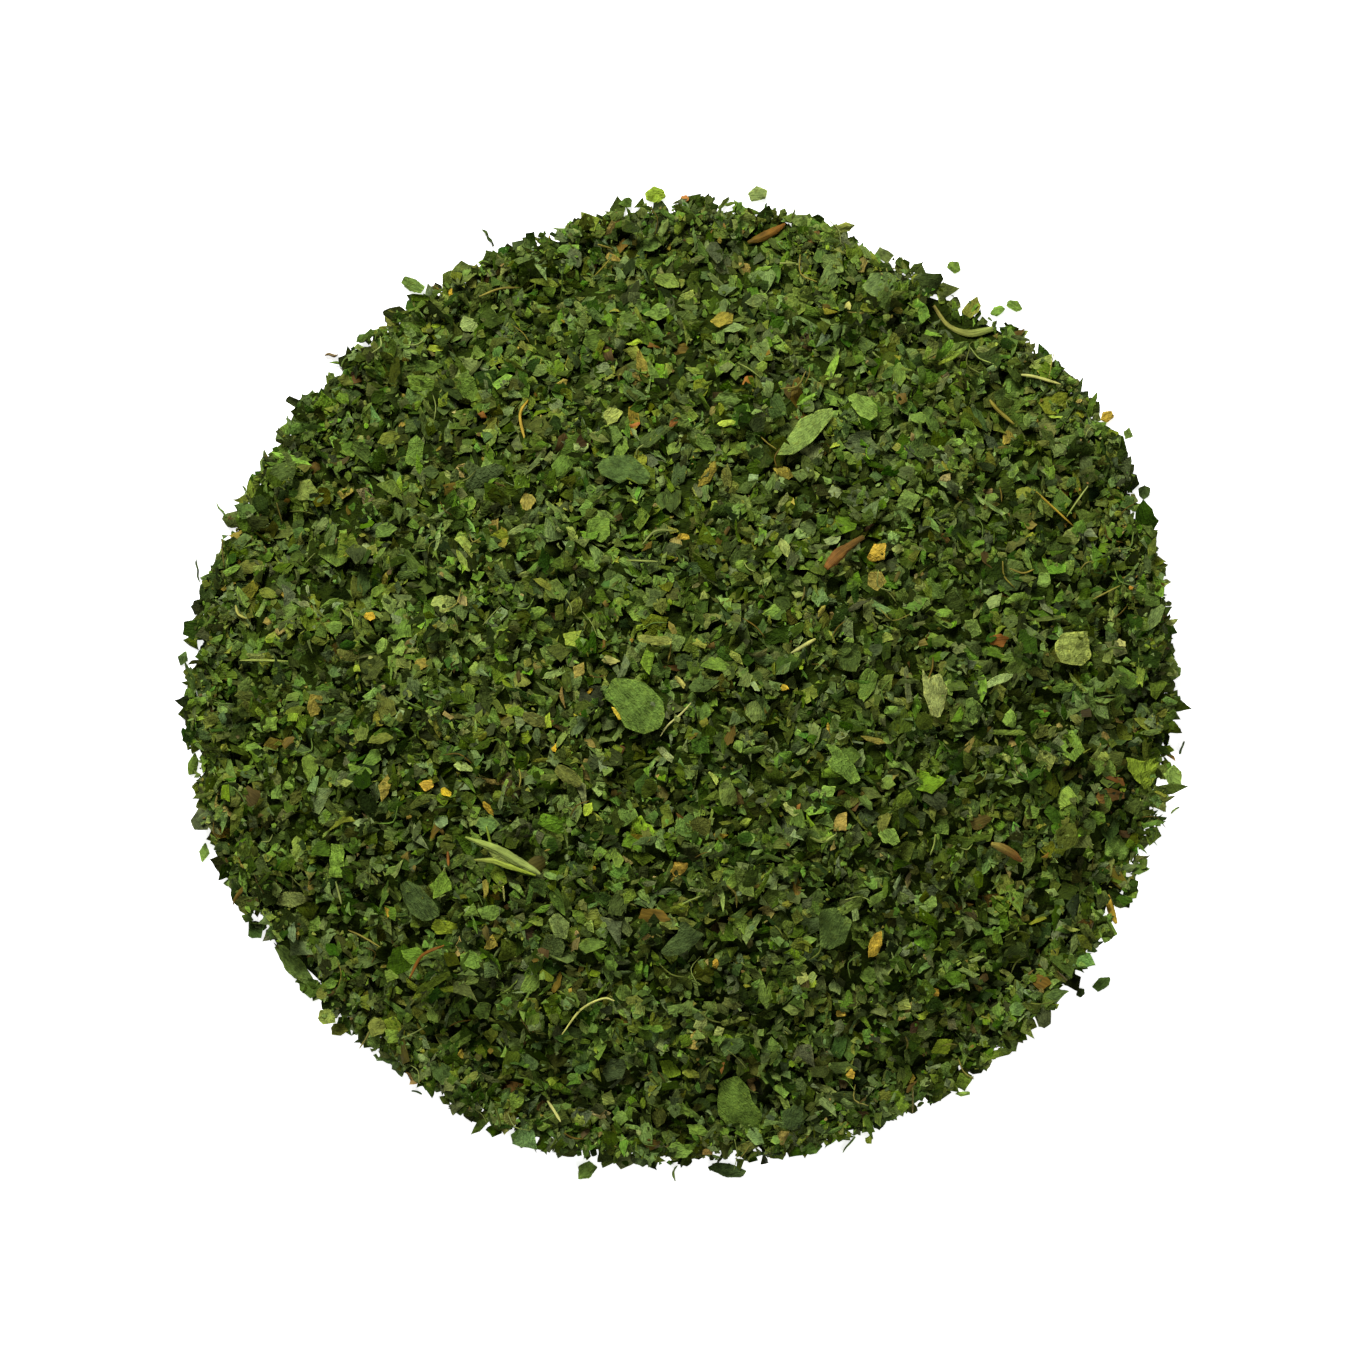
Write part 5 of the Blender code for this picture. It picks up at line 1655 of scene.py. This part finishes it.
def tube(path, half_wide, half_high, sides, draw, groove=0.12):
    """A closed tube round a path: its points, triangles, leaf places, rim values, bake map, and
    how far along the path each point is, from nought to one."""
    rings = len(path)
    along = np.gradient(path, axis=0)
    along /= np.linalg.norm(along, axis=1, keepdims=True)
    beside = np.cross([0.0, 0.0, 1.0], along)
    beside /= np.linalg.norm(beside, axis=1, keepdims=True)
    over = np.cross(along, beside)
    angle = np.arange(sides) / sides * FULL_TURN
    start = draw.uniform(0, FULL_TURN, 3)
    wave = np.cos(4 * angle + start[0]) + SMALL_GROOVE * np.cos(7 * angle + start[1])
    roughness = draw.normal(0, groove * ROUGHNESS_OF_GROOVE, (rings, sides))
    uneven = 1 + groove * wave[None, :] + roughness
    wide = (half_wide[:, None] * np.cos(angle)[None, :] * uneven)[:, :, None]
    high = (half_high[:, None] * np.sin(angle)[None, :] * uneven)[:, :, None]
    skin = path[:, None, :] + beside[:, None, :] * wide + over[:, None, :] * high
    points = np.concatenate([skin.reshape(-1, 3), path[:1], path[-1:]])
    steps = np.linalg.norm(np.diff(path, axis=0), axis=1)
    distance = np.concatenate([[0], np.cumsum(steps)])
    reached = np.broadcast_to(distance[:, None, None], wide.shape)
    leaf = np.stack([reached, wide, high], 2)[..., 0].reshape(-1, 3)
    leaf = np.concatenate([leaf, [[0, 0, 0], [distance[-1], 0, 0]]])
    share = distance / distance[-1]
    rim = np.concatenate([np.repeat(np.abs(2 * share - 1) ** 6, sides), [1, 1]])
    far = np.concatenate([np.repeat(share, sides), [0, 1]])
    return points, tube_faces(rings, sides), leaf, rim, tube_map(share, sides), far


def join_tubes(name, slot, tubes, tints_of_ends, covers, draw):
    """One piece from some tubes, each with a tint at either end and a square of the bake map."""
    squares = math.ceil(math.sqrt(len(tubes)))
    gathered = [[] for _ in range(6)]
    start = 0
    for number, (made, (from_tint, to_tint)) in enumerate(zip(tubes, tints_of_ends)):
        points, faces, leaf, rim, bake, share = made
        tint = from_tint[None, :] * (1 - share[:, None]) + to_tint[None, :] * share[:, None]
        corner = np.array([number % squares, number // squares])
        bake = (bake * (1 - 2 * TUBE_MAP_MARGIN) + TUBE_MAP_MARGIN + corner) / squares
        elsewhere = draw.uniform(-PATTERN_REACH, PATTERN_REACH, (1, 3))
        values = (points, faces + start, tint, leaf + elsewhere, rim, bake)
        for store, value in zip(gathered, values):
            store.append(value)
        start += len(points)
    piece = make_piece(name, *[np.concatenate(store) for store in gathered])
    piece.data.materials.append(materials[slot])
    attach(piece, "root")
    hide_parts(*covers)
    print(name, "tubes:", len(tubes), "triangles:", sum(len(made[1]) for made in tubes))
    return piece


def widths(values, count):
    """Half widths along a tube, from a few values at even steps."""
    return np.interp(np.linspace(0, len(values) - 1, count), np.arange(len(values)), values)


# %% [markdown]
# ### Splinters of the model
# The splinters on the heap are red-brown or straw-coloured and thickest near their middle. Their
# paths could be drawn by hand, but each has a solid in the model, whose middle line serves.

# %% Splinters of the model
STALK_SEED = 23
SPLINTER_LIFT = 0.15
SPLINTER_TIP = 0.02
SPLINTER_COVER = 0.9
SPLINTER_LOOKS = {
    # name: (slot, half widths from the west end to the east end, flatness, shades of the ends)
    "splinter_red_brown": ("stalk_brown", (0.30, 0.62, 0.66, 0.42, 0.34, 0.24), 0.6, ("rust", "brown")),
    "splinter_brown": ("stalk_brown", (0.18, 0.42, 0.44, 0.40, 0.16), 0.6, ("tan", "rust")),
    "splinter_top": ("stalk_brown", (0.15, 0.40, 0.48, 0.36, 0.12), 0.6, ("brown", "rust")),
    "splinter_rim": ("stem_pale", (0.16, 0.34, 0.42, 0.34, 0.14), 0.7, ("gold", "gold")),
    "stem_tan": ("stem_pale", (0.20, 0.24, 0.28, 0.42, 0.46, 0.30), 0.8, ("tan", "straw")),
    "stem_green": ("leaf_green", (0.12, 0.28, 0.34, 0.32, 0.12), 0.7, ("lime", "bright")),
}


def splinter_path(name):
    """The middle line of a straight-ish solid: its corners, sorted along its longest axis and
    split into four equal groups, give four points."""
    points = node_points(name)
    axes = lying_axes(points)[1]
    along = points @ axes[0]
    if axes[0, 0] < 0:
        along = -along
    groups = np.array_split(points[np.argsort(along)], 4)
    knots = np.array([group.mean(axis=0) for group in groups])
    first_end = knots[0] + (knots[0] - knots[1]) * SPLINTER_TIP
    return smooth_path(np.concatenate([first_end[None], knots[1:]]), STALK_RINGS)


def end_tints(shades, draw):
    """The tints of a tube's two ends."""
    return tuple(shade_tints(draw, shade, 1)[0] for shade in shades)


stalk_draw = np.random.default_rng(STALK_SEED)
for name, (slot, half_widths, flatness, shades) in SPLINTER_LOOKS.items():
    wide = widths(half_widths, STALK_RINGS)
    path = splinter_path(name) + np.array([0, 0, SPLINTER_LIFT])
    made = tube(path, wide, wide * flatness, STALK_SIDES, stalk_draw)
    join_tubes("dry_" + name, slot, [made], [end_tints(shades, stalk_draw)], (name,), stalk_draw)
    for x, y, z in path[::2]:
        mark_covered(x, y, SPLINTER_COVER, SPLINTER_COVER, 0.0)

# %% [markdown]
# ### The forked stem
# Left of the middle lies a pale stem that splits into two arms, with a film of dried leaf between
# them. One mesh could be modelled for all three. Two tubes that meet and one flat leaf are simpler,
# and each has the finish that it needs.

# %% The forked stem
STEM_RISE = 1.7
STEM_COVER = 0.8
MAIN_ARM = (
    (-24.2, -17.1), (-21.5, -18.1), (-20.0, -18.8), (-18.7, -19.6), (-16.9, -20.6), (-15.9, -21.2),
)
MAIN_HALF_WIDTHS = (0.12, 0.34, 0.42, 0.46, 0.42, 0.30, 0.12)
SIDE_ARM = ((-23.2, -19.6), (-21.1, -19.7), (-19.6, -20.2), (-18.0, -20.7), (-16.4, -21.3))
SIDE_HALF_WIDTHS = (0.10, 0.24, 0.30, 0.30, 0.22, 0.10)
ARM_RINGS = 30
ARM_SIDES = 18
ARM_THINNEST = 0.1
ARM_FLATNESS = 0.5
ARM_GROOVE = 0.16
STEM_FILM = (
    (-23.4, -17.6), (-20.0, -18.8), (-16.6, -20.9), (-18.0, -20.8), (-19.6, -20.2), (-21.0, -19.7),
    (-21.6, -18.9),
)
FILM_THICKNESS = 0.16


def arm_path(points, count):
    """A path that the camera shows, laid over the dome at the height of a stem."""
    x, y = under_view(*smooth_path(np.array(points), count).T)
    return np.column_stack([x, y, dome_height(x, y) + STEM_RISE])


arms = []
for arm, half_widths in ((MAIN_ARM, MAIN_HALF_WIDTHS), (SIDE_ARM, SIDE_HALF_WIDTHS)):
    wide = widths(half_widths, ARM_RINGS)
    path = arm_path(arm, ARM_RINGS)
    high = ARM_THINNEST + wide * ARM_FLATNESS
    arms.append(tube(path, wide, high, ARM_SIDES, stalk_draw, groove=ARM_GROOVE))
    for x, y, z in path[::3]:
        mark_covered(x, y, STEM_COVER, STEM_COVER, 0.0)
arm_tints = [end_tints(("straw", "straw"), stalk_draw), end_tints(("straw", "lime"), stalk_draw)]
join_tubes("dry_stem_pale_forked", "stem_pale", arms, arm_tints, ("stem_pale_forked",), stalk_draw)

film_x, film_y = under_view(*np.array(STEM_FILM).T)
film_points = np.column_stack([film_x, film_y, dome_height(film_x, film_y) + STEM_RISE])
film_middle, film_axes = lying_axes(film_points)
film_rim = hand_cut_rim(STEM_FILM, film_middle, film_axes)
film_half = np.abs(film_rim).max(axis=0)
film_shape = draw_shapes(stalk_draw, 1, **LEAF_BENDS)
film_thick = np.array([FILM_THICKNESS])
film, film_flat = bent_flakes(
    LEAF, (film_rim / film_half)[None], film_half[None], film_shape, film_thick
)
film = film[0] @ film_axes + film_middle
join_flakes(
    "dry_stem_film",
    "leaf_green",
    LEAF,
    film[None],
    film_flat,
    film_half[None],
    shade_tints(stalk_draw, "straw", 1),
    stalk_draw,
    ("stem_pale_forked",),
)

# %% [markdown]
# ### The late flakes
# The rest of the skin falls now. A late flake whose middle would land on a piece that stands out
# is left out, so those pieces stay in sight while their edges are still overlapped.

# %% Lay the late flakes and join the skin
SKIN_CHECK_RADIUS = 48
LARGEST_PIECE = 3000

late = ~early & ~covered[cells_of(skin_x, skin_y)]
lay_skin(skin_draw, late)
kept = (early | late) & np.isfinite(skin_points[:, 0, 2])
print("late flakes:", int(late.sum()), "left out:", int((~kept).sum()))

from_middle = np.hypot(cell_x - HEAP_MIDDLE[0], cell_y - HEAP_MIDDLE[1])
over_dome = (ground - dome_height(cell_x, cell_y))[from_middle < SKIN_CHECK_RADIUS]
skin_depth = float(over_dome.mean())
print("mean height of the skin over the dome:", round(skin_depth, 2))

names = list(FAMILIES)
shares = np.array([FAMILIES[family][0] for family in names])
skin_family = skin_draw.choice(len(names), SKIN_COUNT, p=shares / shares.sum())
for number, family in enumerate(names):
    of_family = np.flatnonzero((skin_family == number) & kept)
    parts = math.ceil(len(of_family) / LARGEST_PIECE)
    for part, chosen in enumerate(np.array_split(of_family, parts), start=1):
        join_flakes(
            f"flakes_{family}_{part}",
            family,
            FLAKE,
            skin_points[chosen],
            skin_flat[chosen],
            skin_half[chosen],
            family_tints(skin_draw, family, len(chosen)),
            skin_draw,
            ("flake_heap",),
        )

# %% [markdown]
# ### Fibres
# Veins and roots dry to hair-thin fibres that lie on top in arcs. Blender's hair could draw them,
# but a thin tube is a real mesh, so it goes wherever the model goes. The clearest ones follow the
# photograph, as a few points each, and their heights come from the ground under them.

# %% Fibres
FIBRES = (
    # (points x, y), thickness, shade
    (((0.8, -2.2), (-0.3, -3.4), (-1.9, -4.8), (-2.6, -5.9)), 0.22, "cream"),
    (((-13.5, -38.9), (-11.4, -36.2), (-9.0, -35.0), (-7.7, -35.2)), 0.26, "cream"),
    (((-4.6, 15.4), (-3.1, 16.9), (-0.8, 16.9)), 0.28, "straw"),
    (((38.8, 21.4), (40.8, 19.6), (43.2, 17.4)), 0.26, "gold"),
    (((44.7, 21.8), (43.6, 20.2), (42.3, 18.2)), 0.20, "straw"),
    (((-22.6, 42.7), (-20.4, 43.6), (-18.2, 43.8)), 0.26, "tan"),
    (((-49.0, 2.5), (-46.4, 2.5), (-43.8, 2.4)), 0.28, "straw"),
    (((-30.2, -32.5), (-28.9, -30.1), (-26.5, -29.0)), 0.36, "rust"),
    (((-38.6, -22.0), (-37.9, -24.5)), 0.26, "straw"),
    (((-37.2, -27.4), (-35.5, -28.1), (-33.6, -29.1)), 0.22, "tan"),
    (((-26.2, -18.7), (-26.1, -20.3)), 0.34, "rust"),
    (((-15.1, -46.2), (-14.3, -47.3), (-13.6, -48.4)), 0.36, "cream"),
    (((-17.3, 31.4), (-18.2, 29.7), (-17.6, 26.7)), 0.38, "gold"),
    (((14.0, -17.1), (15.4, -17.6), (16.9, -16.8)), 0.30, "straw"),
    (((14.6, 4.9), (11.9, 3.3)), 0.42, "cream"),
    (((37.3, 34.1), (39.0, 33.8), (41.7, 33.0)), 0.38, "cream"),
    (((33.9, 31.4), (34.9, 30.2), (36.6, 28.7)), 0.46, "tan"),
    (((24.5, -39.1), (24.8, -39.9), (24.7, -40.6)), 0.22, "tan"),
    (((-49.6, 8.6), (-49.3, 7.6), (-48.4, 7.1)), 0.34, "cream"),
    (((36.1, 12.7), (37.6, 12.2), (38.8, 12.6)), 0.20, "tan"),
    (((45.4, 9.3), (48.3, 10.8)), 0.20, "tan"),
    (((-6.3, 13.6), (-2.9, 13.5)), 0.24, "straw"),
    (((10.6, 46.4), (12.8, 46.4)), 0.24, "straw"),
    (((-20.0, -22.5), (-19.9, -24.2)), 0.22, "cream"),
    (((-9.5, 48.5), (-7.8, 48.1)), 0.24, "tan"),
    (((-0.2, -24.5), (2.2, -23.5)), 0.20, "straw"),
    (((-21.9, -15.9), (-21.2, -18.9)), 0.30, "lime"),
)
FIBRE_SEED = 31
FIBRE_RINGS = 16
FIBRE_SIDES = 6
FIBRE_HALF_WIDTHS = (0.5, 1.0, 0.9, 1.0, 0.4)
FIBRE_LIFT = 0.3
FIBRE_GROOVE = 0.05
RANDOM_FIBRES = 130
RANDOM_FIBRE_LENGTH = (1.2, 3.6)
RANDOM_FIBRE_THICKNESS = (0.1, 0.22)
RANDOM_FIBRE_BEND = 0.35
RANDOM_FIBRE_RINGS = 7
RANDOM_FIBRE_SIDES = 4


def fibre(points, thickness, rings, sides, draw):
    """A thin tube over the ground: its height is the straight line between the heights at its
    two ends, lifted until it clears most of the ground below."""
    flat = np.column_stack(under_view(*smooth_path(np.array(points), rings).T))
    height = ground[cells_of(flat[:, 0], flat[:, 1])]
    line = np.linspace(height[:3].mean(), height[-3:].mean(), rings)
    line = line + np.percentile(height - line, REST_PERCENT) + thickness * FIBRE_LIFT
    wide = thickness / 2 * widths(FIBRE_HALF_WIDTHS, rings)
    return tube(np.column_stack([flat, line]), wide, wide, sides, draw, groove=FIBRE_GROOVE)


fibre_draw = np.random.default_rng(FIBRE_SEED)
fibres = [
    fibre(points, thickness, FIBRE_RINGS, FIBRE_SIDES, fibre_draw)
    for points, thickness, shade in FIBRES
]
fibre_tints = [end_tints((shade, shade), fibre_draw) for points, thickness, shade in FIBRES]
hair_x, hair_y = scatter(fibre_draw, RANDOM_FIBRES, 0.0)
for x, y in zip(hair_x, hair_y):
    turn = fibre_draw.uniform(0, FULL_TURN)
    length = fibre_draw.uniform(*RANDOM_FIBRE_LENGTH)
    ahead = np.array([math.cos(turn), math.sin(turn)]) * length / 2
    beside = np.array([-ahead[1], ahead[0]]) * fibre_draw.normal(0, RANDOM_FIBRE_BEND)
    middle = np.array([x, y])
    points = (middle - ahead, middle + beside, middle + ahead)
    thickness = fibre_draw.uniform(*RANDOM_FIBRE_THICKNESS)
    fibres.append(fibre(points, thickness, RANDOM_FIBRE_RINGS, RANDOM_FIBRE_SIDES, fibre_draw))
    shade = fibre_draw.choice(["straw", "olive", "green", "tan", "brown"])
    fibre_tints.append(end_tints((shade, shade), fibre_draw))
join_tubes("fine_fibres", "stem_pale", fibres, fibre_tints, ("flake_heap",), fibre_draw)

# %% [markdown]
# ### Crumbs
# Last, the finest crumbs are sifted over everything. Grains of noise in the material could stand
# for them, but they would cast no shadow. They are flakes too, with fewer points, and only a few
# of them fall on the pieces that stand out.

# %% Crumbs
CRUMB_SEED = 53
CRUMB_COUNT = 5500
CRUMB_FRAY = 0.2
CRUMB_HALF = (0.24, 0.55)
CRUMB_ASPECT = (0.35, 0.95)
CRUMB_CORNERS = (3, 6)
CRUMB_LEAN = 0.3
CRUMB_SINK = (0.05, 0.2)
CRUMBS_ON_PIECES = 0.06
CRUMB_BENDS = {
    "roll": 0.3,
    "second_roll": 0.1,
    "twist": 0.1,
    "crease": 0.1,
    "ripple": 0.01,
    "ripple_length": (1.0, 2.0),
}
CRUMB_FAMILIES = {
    "leaf_green": 0.40,
    "heap_green": 0.37,
    "leaf_olive": 0.18,
    "leaf_gold": 0.03,
    "stalk_brown": 0.02,
}

crumb_draw = np.random.default_rng(CRUMB_SEED)
crumb_x, crumb_y = scatter(crumb_draw, CRUMB_COUNT, CRUMB_FRAY)
crumb_long = crumb_draw.uniform(*CRUMB_HALF, CRUMB_COUNT)
crumb_short = crumb_long * crumb_draw.uniform(*CRUMB_ASPECT, CRUMB_COUNT)
on_pieces = crumb_draw.random(CRUMB_COUNT) < CRUMBS_ON_PIECES
free = ~covered[cells_of(crumb_x, crumb_y)] | on_pieces
crumb_half = np.stack([crumb_long, crumb_short], axis=1)[free]
crumb_count = len(crumb_half)
crumb_points, crumb_flat = lay_flakes(
    crumb_draw,
    CRUMB,
    crumb_x[free],
    crumb_y[free],
    crumb_half,
    crumb_draw.uniform(0, FULL_TURN, crumb_count),
    crumb_draw.choice(np.array(CRUMB_CORNERS), crumb_count),
    CRUMB_LEAN,
    CRUMB_SINK,
    CRUMB_BENDS,
)
crumb_shares = list(CRUMB_FAMILIES.values())
crumb_family = crumb_draw.choice(len(CRUMB_FAMILIES), crumb_count, p=crumb_shares)
for number, family in enumerate(CRUMB_FAMILIES):
    chosen = crumb_family == number
    join_flakes(
        f"crumbs_{family}",
        family,
        CRUMB,
        crumb_points[chosen],
        crumb_flat[chosen],
        crumb_half[chosen],
        family_tints(crumb_draw, family, int(chosen.sum())),
        crumb_draw,
        ("flake_heap",),
    )
